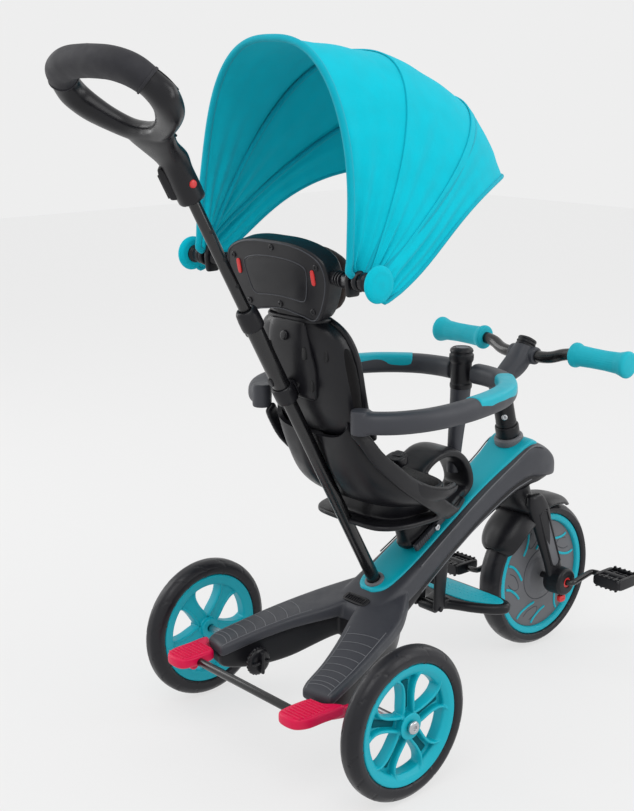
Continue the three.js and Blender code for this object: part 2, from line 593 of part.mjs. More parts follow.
// ---------- guard ring and its post ----------
const POST_Y = 320;
const POST_FOOT_Y = 309;
const post = loft([
  { c: [0, POST_FOOT_Y, 326.4], u: [9, 0, 0], v: [0, 9, 0], n: 3 },
  { c: [0, POST_FOOT_Y, 350], u: [9, 0, 0], v: [0, 8.5, 0], n: 3 },
  { c: [0, POST_Y - 5, 400], u: [10, 0, 0], v: [0, 10, 0], n: 3 },
  { c: [0, POST_Y, 448], u: [13, 0, 0], v: [0, 13, 0], n: 2.6 },
  { c: [0, POST_Y, 458], u: [17, 0, 0], v: [0, 17, 0], n: 2 },
  { c: [0, POST_Y, 506], u: [17, 0, 0], v: [0, 17, 0], n: 2 },
  { c: [0, POST_Y, 513], u: [13, 0, 0], v: [0, 13, 0], n: 2 },
], 16);
add('ring_post', 'grey', cut(post, box([6.6, POST_FOOT_Y - 5.4, 334.6], [14, POST_FOOT_Y + 5.4, 346.4])));
add('post_button', 'red', box([7.6 + GAP, POST_FOOT_Y - 5, 335], [12, POST_FOOT_Y + 5, 346]));
const RING_R = 14;
const RING_PIVOT = [98.5, 24];
const ringHalf = [
  [...RING_PIVOT, RING_Z - 4], [132, 46, RING_Z - 3], [155, 110, RING_Z - 2], [154, 195, RING_Z - 1],
  [124, 278, RING_Z], [78, 320, RING_Z], [36, 328, RING_Z], [19.5, 326, RING_Z],
];
const padSpan = [[154.2, 190, RING_Z - 1], [144, 240, RING_Z], [122, 280, RING_Z], [90, 312, RING_Z]];
for (const [side, sign] of Object.entries(SIDES)) {
  const path = sign > 0 ? ringHalf : ringHalf.map(mirrorX);
  const span = sign > 0 ? padSpan : padSpan.map(mirrorX);
  const [barrelX, barrelY] = [sign * RING_PIVOT[0], RING_PIVOT[1]];
  const barrel = rod([barrelX, barrelY, RING_Z - 20], [barrelX, barrelY, RING_Z + 12], 13, 12);
  const bow = join(tube(path, RING_R, 22, 12), barrel);
  add(`ring_${side}`, 'grey', bow);
  const cuff = tube(span, RING_R + 3.5, 10, 12);
  const below = box([-200, 60, RING_Z - 60], [200, 400, RING_Z + 2]);
  add(`ring_pad_${side}`, 'teal', cut(cuff, tube(path, RING_R + 0.6, 22, 12), below));
}

// ---------- push bar ----------
const UPPER_R = 7.6;
const hollow = (from, to, outer, inner) => turnedAlong(
  [[inner, from], [outer, from], [outer, to], [inner, to], [inner, from]], BAR_BASE, BAR_DIR, 14,
);
const barStart = -55;
add('push_bar_lower', 'metal', turnedAlong([[0, barStart], [BAR_R, barStart], [BAR_R, BAR_SLEEVE_LOW + 14],
  [UPPER_R + 0.5, BAR_SLEEVE_LOW + 14], [UPPER_R + 0.5, 190], [0, 190]], BAR_BASE, BAR_DIR, 14));
const sleeve = hollow(BAR_SLEEVE_LOW, BAR_SLEEVE_TOP, 11.5, BAR_R + GAP);
const collarLow = hollow(BAR_SLEEVE_LOW, BAR_SLEEVE_LOW + 22, 15, BAR_R + GAP);
const collarTop = hollow(BAR_SLEEVE_TOP - 26, BAR_SLEEVE_TOP, 15, UPPER_R + 0.5);
add('push_bar_sleeve', 'black', join(sleeve, collarLow, collarTop));
add('push_bar_upper', 'metal', rod(onBar(BAR_SLEEVE_LOW + 15), onBar(BAR_NECK + 24), UPPER_R, 14));

const LOOP_START = onBar(692);
const loopUp = new THREE.Vector3(0, -Math.cos(rad(LOOP_TILT)), Math.sin(rad(LOOP_TILT)));
const loopNormal = [0, Math.sin(rad(LOOP_TILT)), Math.cos(rad(LOOP_TILT))];
const onLoop = ([x, s]) => along([x, LOOP_START[1], LOOP_START[2]], loopUp, s);
const SPLIT = 108; // where the glossy shell gives way to the soft grip
const loopSection = ([x, s], tangent, wide, thick) => ({
  c: onLoop([x, s]),
  u: [tangent[1] * wide, -loopUp.y * tangent[0] * wide, -loopUp.z * tangent[0] * wide],
  v: loopNormal.map((value) => value * thick),
  n: 2.3,
});
// Half of the loop's centre line as [x, s], with its direction, half-width and half-thickness.
const SIDE_X = 91;
const frontStrand = [
  [[-8, 54], [1, 0], 11, 11], [[26, 58], [0.97, 0.25], 11, 11], [[58, 74], [0.8, 0.6], 12, 12],
  [[80, 92], [0.5, 0.87], 14, 13], [[SIDE_X, SPLIT], [0, 1], 15, 14],
];
const rearStrand = [
  [[SIDE_X, SPLIT + GAP], [0, 1], 15, 14], [[90, 128], [-0.25, 0.97], 16, 15],
  [[74, 151], [-0.75, 0.66], 17, 16],
  [[40, 163], [-0.96, 0.28], 17, 16], [[-2, 166], [-1, 0], 17, 16],
];
const strand = (stations) => loft(stations.map((station) => loopSection(...station)), 12);
const frontRight = strand(frontStrand);
const rearRight = strand(rearStrand);
const neck = loft([
  { c: onBar(BAR_NECK), u: [14, 0, 0], v: [0, 14 * Math.cos(rad(SLOPE)), 14 * Math.sin(rad(SLOPE))], n: 2.2 },
  { c: onBar(676), u: [15, 0, 0], v: [0, 15 * Math.cos(rad(SLOPE)), 15 * Math.sin(rad(SLOPE))], n: 2.2 },
  { c: onBar(700), u: [19, 0, 0], v: [0, 13, 8], n: 2.2 },
  { c: onLoop([0, 32]), u: [27, 0, 0], v: loopNormal.map((value) => value * 12), n: 2.2 },
  { c: onLoop([0, 56]), u: [36, 0, 0], v: loopNormal.map((value) => value * 9), n: 2.2 },
], 14);
const neckBore = rod(onBar(BAR_NECK - 10), onBar(BAR_NECK + 25), UPPER_R + GAP, 14);
const BUTTON_AT = onBar(668);
const buttonPocket = rod([8.7, BUTTON_AT[1], BUTTON_AT[2]], [30, BUTTON_AT[1], BUTTON_AT[2]], 5.5, 12);
add('handle_shell', 'black', cut(join(frontRight, withX(frontRight), neck), neckBore, buttonPocket));
add('handle_grip', 'rubber', join(rearRight, withX(rearRight)));
add('bar_button', 'black', rod([11, BUTTON_AT[1], BUTTON_AT[2]], [18, BUTTON_AT[1], BUTTON_AT[2]], 5, 12));

// ---------- headrest ----------
const HEADREST = [[604, 62, 24], [626, 80, 26], [664, 97, 28], [684, 96, 28], [700, 64, 20]];
const headShell = loft(HEADREST.map(([z, half, depth]) => ({
  c: [0, seatBack(z) - 2 + depth / 2, z], u: [half, 0, 0], v: [0, depth / 2, 0], n: 4,
})), 18);
add('headrest_shell', 'grey', join(headShell, guide(-50, 20, 26, 4)));
const HEAD_PAD = [[606, 54, 12], [624, 73, 22], [662, 88, 26], [682, 86, 24], [697, 58, 12]];
add('headrest_pad', 'padding', loft(HEAD_PAD.map(([z, half, depth]) => ({
  c: [0, seatBack(z) + 28 + depth / 2, z], u: [half, 0, 0], v: [0, depth / 2, 0], n: 3,
})), 16));

// ---------- canopy ----------
const [, PIVOT_Y, PIVOT_Z] = CANOPY_PIVOT;
// The canopy's half-width and height at an angle forward of upright, in degrees.
const canopyWidth = (angle) => 144 + 0.5 * THREE.MathUtils.clamp(angle, 0, 60);
const REACH = [[-4, 278], [8, 280], [21, 288], [33, 306], [44, 324], [56, 342], [65, 350], [80, 352]];
function canopyReach(angle) {
  const i = THREE.MathUtils.clamp(REACH.findIndex(([at]) => at >= angle), 1, REACH.length - 1);
  const [[a0, r0], [a1, r1]] = [REACH[i - 1], REACH[i]];
  return r0 + ((r1 - r0) * (angle - a0)) / (a1 - a0);
}
const ARCH = 2.6; // squareness of each arch
const archPoint = (angle, t, offset) => {
  const turn = Math.PI * t;
  const power = (value) => Math.sign(value) * Math.abs(value) ** (2 / ARCH);
  const reach = (canopyReach(angle) + offset) * Math.abs(power(Math.sin(turn)));
  return [
    (canopyWidth(angle) + offset) * power(Math.cos(turn)),
    PIVOT_Y + reach * Math.sin(rad(angle)),
    PIVOT_Z + reach * Math.cos(rad(angle)),
  ];
};
const ARCH_STEPS = 20;
const ARCH_START = 0.01; // the share of the arch left open at each foot
const archSpan = (i) => ARCH_START + ((1 - 2 * ARCH_START) * i) / ARCH_STEPS;

// One gore of the canopy: a curved sheet between two angles; the visor's edge dips in the middle.
const visorDip = (t) => 9 * Math.sin(Math.PI * t) ** 3;
function gore(fromAngle, toAngle, offset, dip = () => 0) {
  const CLOTH = 2;
  const columns = 4;
  const geometry = new THREE.BoxGeometry(ARCH_STEPS, columns, 1, ARCH_STEPS, columns, 1);
  const position = geometry.attributes.position;
  for (let i = 0; i < position.count; i++) {
    const t = archSpan(position.getX(i) + ARCH_STEPS / 2);
    const share = (position.getY(i) + columns / 2) / columns;
    const angle = THREE.MathUtils.lerp(fromAngle, toAngle + dip(t), share);
    position.setXYZ(i, ...archPoint(angle, t, offset - (position.getZ(i) > 0 ? 0 : CLOTH)));
  }
  return facingOut(geometry);
}
const LAP = 3;
add('canopy_rear', 'fabric', gore(-2, 27, 0));
add('canopy_middle', 'fabric', gore(26.5, 52, LAP));
add('canopy_front', 'fabric', gore(51.5, 65, 2 * LAP, visorDip));

const HOOP_R = 3.5;
function hoop(angle, offset, clear) {
  const discHalf = 3.5;
  const centre = offset + HOOP_R + clear;
  const count = 20;
  const start = 0.02;
  const spanAt = (i) => start + ((1 - 2 * start) * i) / count;
  const arch = Array.from({ length: count + 1 }, (_, i) => archPoint(angle, spanAt(i), centre));
  const discX = canopyWidth(angle) + centre;
  const foot = [discX, PIVOT_Y + 7 * Math.sin(rad(angle)), PIVOT_Z + 7 * Math.cos(rad(angle))];
  const points = [foot, ...arch, mirrorX(foot)];
  const pin = (sign, radius, half) => rod(
    [sign * (discX - half), PIVOT_Y, PIVOT_Z], [sign * (discX + half), PIVOT_Y, PIVOT_Z], radius, 12,
  );
  const discs = [1, -1].map((sign) => pin(sign, 11, discHalf));
  const bores = [1, -1].map((sign) => pin(sign, 4.4, discHalf + 2));
  return cut(join(tube(points, HOOP_R, 30, 6), ...discs), ...bores);
}
add('canopy_hoop_rear', 'metal', hoop(-2, 0, 3.4));
add('canopy_hoop_middle', 'metal', hoop(30, LAP, 2.8));
add('canopy_hoop_front', 'metal', hoop(56, 2 * LAP, 3.6));
const PIN_END = canopyWidth(56) + 2 * LAP + HOOP_R + 8.5;
for (const [side, sign] of Object.entries(SIDES)) {
  const stub = rod([sign * 97.6, -22, 662], [sign * 133, PIVOT_Y, PIVOT_Z - 2], 8, 12);
  const plate = loft([
    { c: [sign * 137, PIVOT_Y, PIVOT_Z - 22], u: [5, 0, 0], v: [0, 10, 0], n: 3 },
    { c: [sign * 137, PIVOT_Y, PIVOT_Z], u: [5, 0, 0], v: [0, 14, 0], n: 3 },
    { c: [sign * 137, PIVOT_Y, PIVOT_Z + 18], u: [5, 0, 0], v: [0, 10, 0], n: 3 },
  ], 12);
  const pin = rod([sign * 133, PIVOT_Y, PIVOT_Z], [sign * PIN_END, PIVOT_Y, PIVOT_Z], 4, 14);
  add(`canopy_mount_${side}`, 'black', join(stub, plate, pin));
}

export default tricycle;
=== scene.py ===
import math

import bmesh
import bpy
import numpy as np
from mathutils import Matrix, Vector
from mathutils.bvhtree import BVHTree


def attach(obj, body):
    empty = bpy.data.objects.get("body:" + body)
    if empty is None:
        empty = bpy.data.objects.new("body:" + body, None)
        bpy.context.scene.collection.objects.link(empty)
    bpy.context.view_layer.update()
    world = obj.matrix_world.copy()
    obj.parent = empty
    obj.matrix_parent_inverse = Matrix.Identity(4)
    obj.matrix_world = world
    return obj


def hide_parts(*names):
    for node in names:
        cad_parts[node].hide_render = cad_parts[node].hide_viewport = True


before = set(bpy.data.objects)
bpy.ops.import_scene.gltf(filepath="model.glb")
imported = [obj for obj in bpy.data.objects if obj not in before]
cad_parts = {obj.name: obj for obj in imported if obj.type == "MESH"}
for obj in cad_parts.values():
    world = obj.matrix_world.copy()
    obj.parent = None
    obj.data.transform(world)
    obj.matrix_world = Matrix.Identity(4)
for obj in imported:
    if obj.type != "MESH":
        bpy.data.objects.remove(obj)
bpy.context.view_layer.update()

# Lengths below are in millimetres from the rear axle, as in the CAD source. at() turns them into the row
# frame.
Y_MID = 154.8
SLOPE = math.radians(28.8)
STEER_LEAN = math.radians(15.4)
SEAT_LEAN = math.radians(11.5)
HEAD = Vector((0, 433, 353))
BAR_BASE = Vector((0, 150, 193))
BAR_DIR = Vector((0, -math.sin(SLOPE), math.cos(SLOPE)))
SPINE_DIR = Vector((0, math.cos(SLOPE), math.sin(SLOPE)))
STEER_DIR = Vector((0, -math.sin(STEER_LEAN), math.cos(STEER_LEAN)))
HUB = Vector((0, 507, 118))
REAR_Z = 103
TRACK = 206.5
SIDES = (("left", -1), ("right", 1))
X, Y, Z = Vector((1, 0, 0)), Vector((0, 1, 0)), Vector((0, 0, 1))


def at(p):
    return Vector((p[0], p[1] - Y_MID, p[2])) / 1000


def on_bar(d):
    return BAR_BASE + BAR_DIR * d


def on_steering(d):
    return HEAD + STEER_DIR * d


def flip(points):
    return [(-p[0], *p[1:]) for p in points]


def run_at(points, i):
    """The direction of a path of points at its i-th one."""
    return (Vector(points[min(i + 1, len(points) - 1)]) - Vector(points[max(i - 1, 0)])).normalized()


# ---------- mesh makers: each returns (vertices, faces) in millimetres ----------
def spline(rows, t):
    """Catmull-Rom through rows of numbers, at t from 0 to len(rows) - 1."""
    i = min(int(t), len(rows) - 2)
    f = t - i
    p0, p1, p2, p3 = rows[max(i - 1, 0)], rows[i], rows[i + 1], rows[min(i + 2, len(rows) - 1)]
    return 0.5 * (2 * p1 + (p2 - p0) * f + (2 * p0 - 5 * p1 + 4 * p2 - p3) * f**2
                  + (3 * p1 - p0 - 3 * p2 + p3) * f**3)


def loft(stations, around=40, step=5.0, ends=(3, 3)):
    """A closed body through (centre, half-width vector, half-height vector, squareness) with rounded ends."""
    rows = np.array([[*c, *u, *v, n] for c, u, v, n in stations], float)
    ts = np.linspace(0, len(rows) - 1, 24 * (len(rows) - 1) + 1)
    fine = np.array([spline(rows, t) for t in ts])
    lengths = np.concatenate([[0], np.cumsum(np.linalg.norm(np.diff(fine[:, :3], axis=0), axis=1))])
    total = lengths[-1]
    count = max(2, int(total / step))
    places = set(np.linspace(0, total, count + 1).round(4))
    for s in (0.05, 0.2, 0.45, 1.0):
        places |= {round(s * ends[0], 4), round(total - s * ends[1], 4)}
    verts = []
    angles = np.linspace(0, 2 * math.pi, around, endpoint=False)
    cos, sin = np.cos(angles), np.sin(angles)
    places = sorted(places)
    for place in places:
        row = np.array([np.interp(place, lengths, fine[:, k]) for k in range(10)])
        c, u, v, n = row[:3], row[3:6], row[6:9], row[9]
        inset = 0
        for r, s in ((ends[0], place), (ends[1], total - place)):
            if r > 0 and s < r:
                inset = max(inset, r - math.sqrt(max(r * r - (r - s) ** 2, 0)))
        u = u * max(1 - inset / np.linalg.norm(u), 0.05)
        v = v * max(1 - inset / np.linalg.norm(v), 0.05)
        a = np.sign(cos) * np.abs(cos) ** (2 / n)
        b = np.sign(sin) * np.abs(sin) ** (2 / n)
        verts += list(c + a[:, None] * u + b[:, None] * v)
    return closed_rows(verts, len(places), around)


def closed_rows(verts, rows, around):
    faces = []
    for i in range(rows - 1):
        for k in range(around):
            a, b = i * around + k, i * around + (k + 1) % around
            faces.append((a, b, b + around, a + around))
    faces.append(tuple(reversed(range(around))))
    faces.append(tuple(range((rows - 1) * around, rows * around)))
    return [Vector(v) for v in verts], faces


def tube(points, radius, up=Z, around=20, step=4.0, squash=1.0, ends=None, n=2.0):
    """A tube along points; radius is one number or one per point, and squash scales it along up."""
    radii = radius if hasattr(radius, "__len__") else [radius] * len(points)
    pts = [Vector(p) for p in points]
    stations = []
    for i, p in enumerate(pts):
        tangent = run_at(pts, i)
        side = tangent.cross(up).normalized()
        stations.append((p, side * radii[i], side.cross(tangent).normalized() * radii[i] * squash, n))
    r = min(radii[0], radii[-1]) * 0.45 if ends is None else ends
    return loft(stations, around, step, (r, r))


def rod(a, b, radius, around=24, ends=None):
    direction = (Vector(b) - Vector(a)).normalized()
    up = Z if abs(direction.z) < 0.9 else Y
    return tube([a, b], radius, up, around, 400, 1.0, ends)


def block(c, u, v, w, n=6, fillet=2, around=28):
    """A box-like body with centre c and half-size vectors u, v and w."""
    c, w = Vector(c), Vector(w)
    return loft([(c - w, u, v, n), (c + w, u, v, n)], around, 400, (fillet, fillet))


def lathe(profile, origin, axis, segments=64, fillet=1.0, wave=None):
    """A body turned from (radius, height) points about an axis; the corners are rounded."""
    axis = Vector(axis).normalized()
    side = axis.cross(Y if abs(axis.y) < 0.9 else X).normalized()
    other = axis.cross(side)
    rounded = []
    closed = profile[0] == profile[-1]
    points = profile[:-1] if closed else profile
    for i, (r, h) in enumerate(points):
        if not closed and i in (0, len(points) - 1):
            rounded.append((r, h))
            continue
        p, a, b = Vector((r, h)), Vector(points[i - 1]), Vector(points[(i + 1) % len(points)])
        reach = min(fillet, (a - p).length * 0.45, (b - p).length * 0.45)
        first, last = p + (a - p).normalized() * reach, p + (b - p).normalized() * reach
        for f in (0, 0.33, 0.67, 1):
            rounded.append(tuple(first * (1 - f) ** 2 + p * 2 * f * (1 - f) + last * f**2))
    verts, faces = [], []
    for r, h in rounded:
        for k in range(segments):
            angle = 2 * math.pi * k / segments
            reach = r + (wave(angle, r, h) if wave else 0)
            verts.append(Vector(origin) + axis * h
                         + (side * math.cos(angle) + other * math.sin(angle)) * reach)
    rows = len(rounded)
    for i in range(rows if closed else rows - 1):
        for k in range(segments):
            a, b = i * segments + k, i * segments + (k + 1) % segments
            c, d = ((i + 1) % rows) * segments + (k + 1) % segments, ((i + 1) % rows) * segments + k
            faces.append((a, b, c, d))
    if not closed:
        faces.append(tuple(reversed(range(segments))))
        faces.append(tuple(range((rows - 1) * segments, rows * segments)))
    return verts, faces


def smooth_outline(points, count=96):
    """A closed Catmull-Rom outline through 2D points."""
    rows = [np.array(p, float) for p in points]
    size = len(rows)
    out = []
    for k in range(count):
        t = k * size / count
        i, f = int(t), t - int(t)
        p0, p1, p2, p3 = (rows[(i + j) % size] for j in (-1, 0, 1, 2))
        out.append(0.5 * (2 * p1 + (p2 - p0) * f + (2 * p0 - 5 * p1 + 4 * p2 - p3) * f**2
                          + (3 * p1 - p0 - 3 * p2 + p3) * f**3))
    return out


def whole_outline(half, count):
    """A smooth outline from its right half; a point on the middle line isn't doubled."""
    return smooth_outline(half + [(-x, y) for x, y in reversed(half) if x], count)


def plate(outline, origin, ex, ey, low, high, fillet=2.0):
    """An outline in the ex, ey plane, thick from low to high along ex x ey, with rounded edges."""
    ex, ey = Vector(ex), Vector(ey)
    ez = ex.cross(ey)
    pts = np.array(outline)
    size = len(pts)
    ahead, behind = np.roll(pts, -1, axis=0), np.roll(pts, 1, axis=0)
    tangent = ahead - behind
    normal = np.stack([tangent[:, 1], -tangent[:, 0]], axis=1)
    normal /= np.linalg.norm(normal, axis=1)[:, None] + 1e-9
    area = np.sum(pts[:, 0] * ahead[:, 1] - ahead[:, 0] * pts[:, 1])
    if area < 0:
        normal = -normal
    fillet = min(fillet, (high - low) / 2)
    steps = [(fillet * (1 - math.sin(a)), low + fillet * (1 - math.cos(a)))
             for a in np.linspace(0, math.pi / 2, 5)]
    steps += [(inset, high - (h - low)) for inset, h in reversed(steps)]
    verts = []
    for inset, h in steps:
        for p, m in zip(pts, normal):
            q = p - m * inset
            verts.append(Vector(origin) + ex * q[0] + ey * q[1] + ez * h)
    return closed_rows(verts, len(steps), size)


def grid(point, nu, nv, thick=0.0):
    """A sheet point(u, v) for u, v from 0 to 1; thick closes it into a shell along its normals."""
    p = np.array([[point(i / nu, j / nv) for j in range(nv + 1)] for i in range(nu + 1)], float)
    flat = [Vector(v) for v in p.reshape(-1, 3)]
    quads = [(i * (nv + 1) + j, (i + 1) * (nv + 1) + j, (i + 1) * (nv + 1) + j + 1, i * (nv + 1) + j + 1)
             for i in range(nu) for j in range(nv)]
    if not thick:
        return flat, quads
    du, dv = np.gradient(p, axis=0), np.gradient(p, axis=1)
    normal = np.cross(du, dv)
    normal /= np.linalg.norm(normal, axis=2)[:, :, None] + 1e-9
    under = [Vector(v) for v in (p - normal * thick).reshape(-1, 3)]
    size = len(flat)
    faces = quads + [tuple(k + size for k in reversed(q)) for q in quads]
    edge = [(i, 0) for i in range(nu + 1)] + [(nu, j) for j in range(1, nv + 1)]
    edge += [(i, nv) for i in range(nu - 1, -1, -1)] + [(0, j) for j in range(nv - 1, 0, -1)]
    ids = [i * (nv + 1) + j for i, j in edge]
    faces += [(a, a + size, b + size, b) for a, b in zip(ids, ids[1:] + ids[:1])]
    return flat + under, faces


def merge(*parts):
    verts, faces = [], []
    for v, f in parts:
        base = len(verts)
        verts += list(v)
        faces += [tuple(k + base for k in face) for face in f]
    return verts, faces


def sleeve(inner, outer, low, high):
    """The lathe profile of a plain ring between two radii and two heights."""
    return [(inner, low), (outer, low), (outer, high), (inner, high), (inner, low)]


def mirrored(part):
    verts, faces = part
    return [Vector((-v[0], v[1], v[2])) for v in verts], [tuple(reversed(f)) for f in faces]


def both(part):
    return merge(part, mirrored(part))


# ---------- objects ----------
def baked(obj):
    """The object with its modifiers applied."""
    graph = bpy.context.evaluated_depsgraph_get()
    mesh = bpy.data.meshes.new_from_object(obj.evaluated_get(graph))
    obj.modifiers.clear()
    obj.data = mesh
    return obj


def finish_mesh(obj, sharp):
    """Turns every face outward and shades smoothly up to this angle in degrees."""
    shape = bmesh.new()
    shape.from_mesh(obj.data)
    bmesh.ops.recalc_face_normals(shape, faces=shape.faces)
    shape.to_mesh(obj.data)
    shape.free()
    obj.data.shade_smooth()
    if sharp < 180:
        obj.data.set_sharp_from_angle(angle=math.radians(sharp))


def new_mesh(name, part):
    verts, faces = part
    mesh = bpy.data.meshes.new(name)
    mesh.from_pydata([at(v) for v in verts], [], faces)
    return mesh


def shown(name, data):
    """An object for this data, linked into the scene."""
    obj = bpy.data.objects.new(name, data)
    bpy.context.scene.collection.objects.link(obj)
    return obj


def skinned(obj, voxel, factor, rounds):
    """Joins the object's parts into one skin, relaxed this many rounds."""
    remesh = obj.modifiers.new("skin", "REMESH")
    remesh.mode = "VOXEL"
    remesh.voxel_size = voxel
    relax = obj.modifiers.new("relax", "SMOOTH")
    relax.factor = factor
    relax.iterations = rounds
    baked(obj)


def piece(name, part, material, body, stands=(), fused=0.0, soften=0, sharp=35):
    """A shown piece. fused joins its parts into one skin with that voxel in mm, and soften smooths it."""
    obj = shown(name, new_mesh(name, part))
    if fused:
        skinned(obj, fused / 1000 * (1), 0.6, soften)
    obj.data.materials.clear()
    obj.data.materials.append(material)
    finish_mesh(obj, 180 if fused else sharp)
    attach(obj, body)
    if stands:
        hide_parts(*stands)
    return obj


# ---------- materials ----------
def noise(tree, scale, detail):
    texture = tree.nodes.new("ShaderNodeTexNoise")
    texture.inputs["Scale"].default_value = scale
    texture.inputs["Detail"].default_value = detail
    texture.inputs["Roughness"].default_value = 0.55
    place = tree.nodes.new("ShaderNodeTexCoord")
    tree.links.new(place.outputs["Object"], texture.inputs["Vector"])
    return texture.outputs["Fac"]


def spread(tree, source, low, high):
    """Maps the middle of a noise to values from low to high."""
    ramp = tree.nodes.new("ShaderNodeMapRange")
    ramp.inputs["From Min"].default_value = 0.3
    ramp.inputs["From Max"].default_value = 0.7
    ramp.inputs["To Min"].default_value = low
    ramp.inputs["To Max"].default_value = high
    tree.links.new(source, ramp.inputs["Value"])
    return ramp.outputs["Result"]


def shader(name, color, rough=0.4, metallic=0.0, coat=0.0, sheen=0.0, specular=0.5):
    material = bpy.data.materials.new(name)
    material.use_nodes = True
    tree = material.node_tree
    bsdf = tree.nodes["Principled BSDF"]
    bsdf.inputs["Base Color"].default_value = (*color, 1)
    bsdf.inputs["Roughness"].default_value = rough
    bsdf.inputs["Metallic"].default_value = metallic
    bsdf.inputs["Coat Weight"].default_value = coat
    bsdf.inputs["Sheen Weight"].default_value = sheen
    bsdf.inputs["Specular IOR Level"].default_value = specular
    material.diffuse_color = (*color, 1)
    return material, tree, bsdf


def relief(tree, bsdf, layers):
    """Chains bumps: each layer is (height source, distance in metres, strength)."""
    last = None
    for source, distance, strength in layers:
        bump = tree.nodes.new("ShaderNodeBump")
        bump.inputs["Distance"].default_value = distance
        bump.inputs["Strength"].default_value = strength
        tree.links.new(source, bump.inputs["Height"])
        if last:
            tree.links.new(last, bump.inputs["Normal"])
        last = bump.outputs["Normal"]
    tree.links.new(last, bsdf.inputs["Normal"])


def tint(tree, bsdf, color, amount, scale):
    """Varies the base colour a little with a broad noise."""
    mix = tree.nodes.new("ShaderNodeMix")
    mix.data_type = "RGBA"
    mix.inputs[6].default_value = (*[c * (1 - amount) for c in color], 1)
    mix.inputs[7].default_value = (*[min(c * (1 + amount), 1) for c in color], 1)
    tree.links.new(noise(tree, scale, 4), mix.inputs[0])
    tree.links.new(mix.outputs[2], bsdf.inputs["Base Color"])


def plastic(name, color, rough=0.4, grain=0.35, coat=0.0, specular=0.5):
    """Moulded plastic: a fine spark-eroded grain, faint sink marks and handling marks."""
    material, tree, bsdf = shader(name, color, rough, coat=coat, specular=specular)
    tree.links.new(spread(tree, noise(tree, 46, 5), rough - 0.05, rough + 0.09), bsdf.inputs["Roughness"])
    relief(tree, bsdf, [(noise(tree, 14, 2), 0.0006, 0.12), (noise(tree, 1500, 2), 0.00012, grain)])
    tint(tree, bsdf, color, 0.08, 9)
    return material


def rubber(name, color, rough=0.72):
    """Soft-touch rubber or foamed tyre: matte, with a pebbled grain and a dusty bloom."""
    material, tree, bsdf = shader(name, color, rough, sheen=0.04, specular=0.3)
    tree.links.new(spread(tree, noise(tree, 60, 5), rough - 0.08, rough + 0.1), bsdf.inputs["Roughness"])
    relief(tree, bsdf, [(noise(tree, 30, 3), 0.0005, 0.15), (noise(tree, 900, 3), 0.0002, 0.35)])
    tint(tree, bsdf, color, 0.18, 22)
    return material


def metal(name, color, rough=0.25, metallic=0.0, coat=0.6):
    """Powder-coated or bright metal: an orange-peel skin under gloss."""
    material, tree, bsdf = shader(name, color, rough, metallic, coat)
    tree.links.new(spread(tree, noise(tree, 70, 5), rough - 0.05, rough + 0.07), bsdf.inputs["Roughness"])
    relief(tree, bsdf, [(noise(tree, 420, 2), 0.0001, 0.06)])
    tint(tree, bsdf, color, 0.06, 15)
    return material


def weave(name, color, thread=620, rough=0.85, coords="UV", depth=0.00025, sheen=0.1):
    """Woven cloth: crossed yarns, slub and broad tone, with a soft sheen."""
    material, tree, bsdf = shader(name, color, rough, sheen=sheen, specular=0.12)
    place = tree.nodes.new("ShaderNodeTexCoord")
    heights = []
    for direction in ("X", "Y"):
        wave = tree.nodes.new("ShaderNodeTexWave")
        wave.bands_direction = direction
        wave.inputs["Scale"].default_value = thread
        wave.inputs["Distortion"].default_value = 0.6
        wave.inputs["Detail"].default_value = 1.5
        tree.links.new(place.outputs[coords], wave.inputs["Vector"])
        heights.append(wave.outputs["Fac"])
    cross = tree.nodes.new("ShaderNodeMath")
    cross.operation = "MULTIPLY"
    tree.links.new(heights[0], cross.inputs[0])
    tree.links.new(heights[1], cross.inputs[1])
    tree.links.new(spread(tree, noise(tree, 80, 4), rough - 0.06, rough + 0.08), bsdf.inputs["Roughness"])
    relief(tree, bsdf, [(noise(tree, 24, 4), 0.0016, 0.25), (cross.outputs["Value"], depth, 0.4)])
    tint(tree, bsdf, color, 0.1, 40)
    return material


TEAL = plastic("teal_plastic", (0.0, 0.36, 0.45), 0.42, specular=0.3)
# teal_painted_shade is painted shade: a dark copy of the rim teal for the spoke channels, standing in for the
# shade in them.
TEAL_PAINTED_SHADE = plastic("teal_painted_shade", (0.0, 0.085, 0.11), 0.6, specular=0.1)
TEAL_SOFT = rubber("teal_soft", (0.0, 0.37, 0.46), 0.62)
GREY = plastic("grey_plastic", (0.034, 0.036, 0.044), 0.46, 0.5, specular=0.4)
GREY_LIGHT = plastic("grey_light", (0.105, 0.108, 0.118), 0.5, 0.4)
BLACK = plastic("black_plastic", (0.007, 0.007, 0.009), 0.34, specular=0.3)
BLACK_GLOSS = plastic("black_gloss", (0.006, 0.006, 0.008), 0.3, 0.15, coat=0.05, specular=0.3)
RED = plastic("red_plastic", (0.62, 0.0, 0.055), 0.42, specular=0.3)
RED_SMALL = plastic("red_small", (0.56, 0.02, 0.02), 0.35)
TUBE = metal("black_tube", (0.005, 0.005, 0.006), 0.26, coat=0.15)
STEEL = metal("zinc_steel", (0.50, 0.51, 0.53), 0.28, 1.0, 0.0)
TYRE = rubber("tyre_foam", (0.009, 0.009, 0.012), 0.36)
SOFT = rubber("soft_grip", (0.017, 0.017, 0.021), 0.7)
# painted_recess_shade is painted shade: a near-black laid into holes, slots, vents and the handle's seam
# groove, where shade falls.
RECESS_SHADE = plastic("painted_recess_shade", (0.004, 0.004, 0.005), 0.6)
CANOPY = weave("canopy_cloth", (0.0, 0.43, 0.54), 150, sheen=0.04)
CANOPY_PATCH = weave("canopy_patch", (0.0, 0.43, 0.54), 700, coords="Object", sheen=0.04)
BINDING = weave("canopy_binding", (0.0, 0.34, 0.44), 700, coords="Object")
LINER = weave("liner_cloth", (0.008, 0.0075, 0.008), 520, 0.9, "Object", 0.0003, 0.08)
HEAD_CLOTH = weave("headrest_cloth", (0.030, 0.021, 0.019), 520, 0.88, "Object", 0.0003, 0.2)

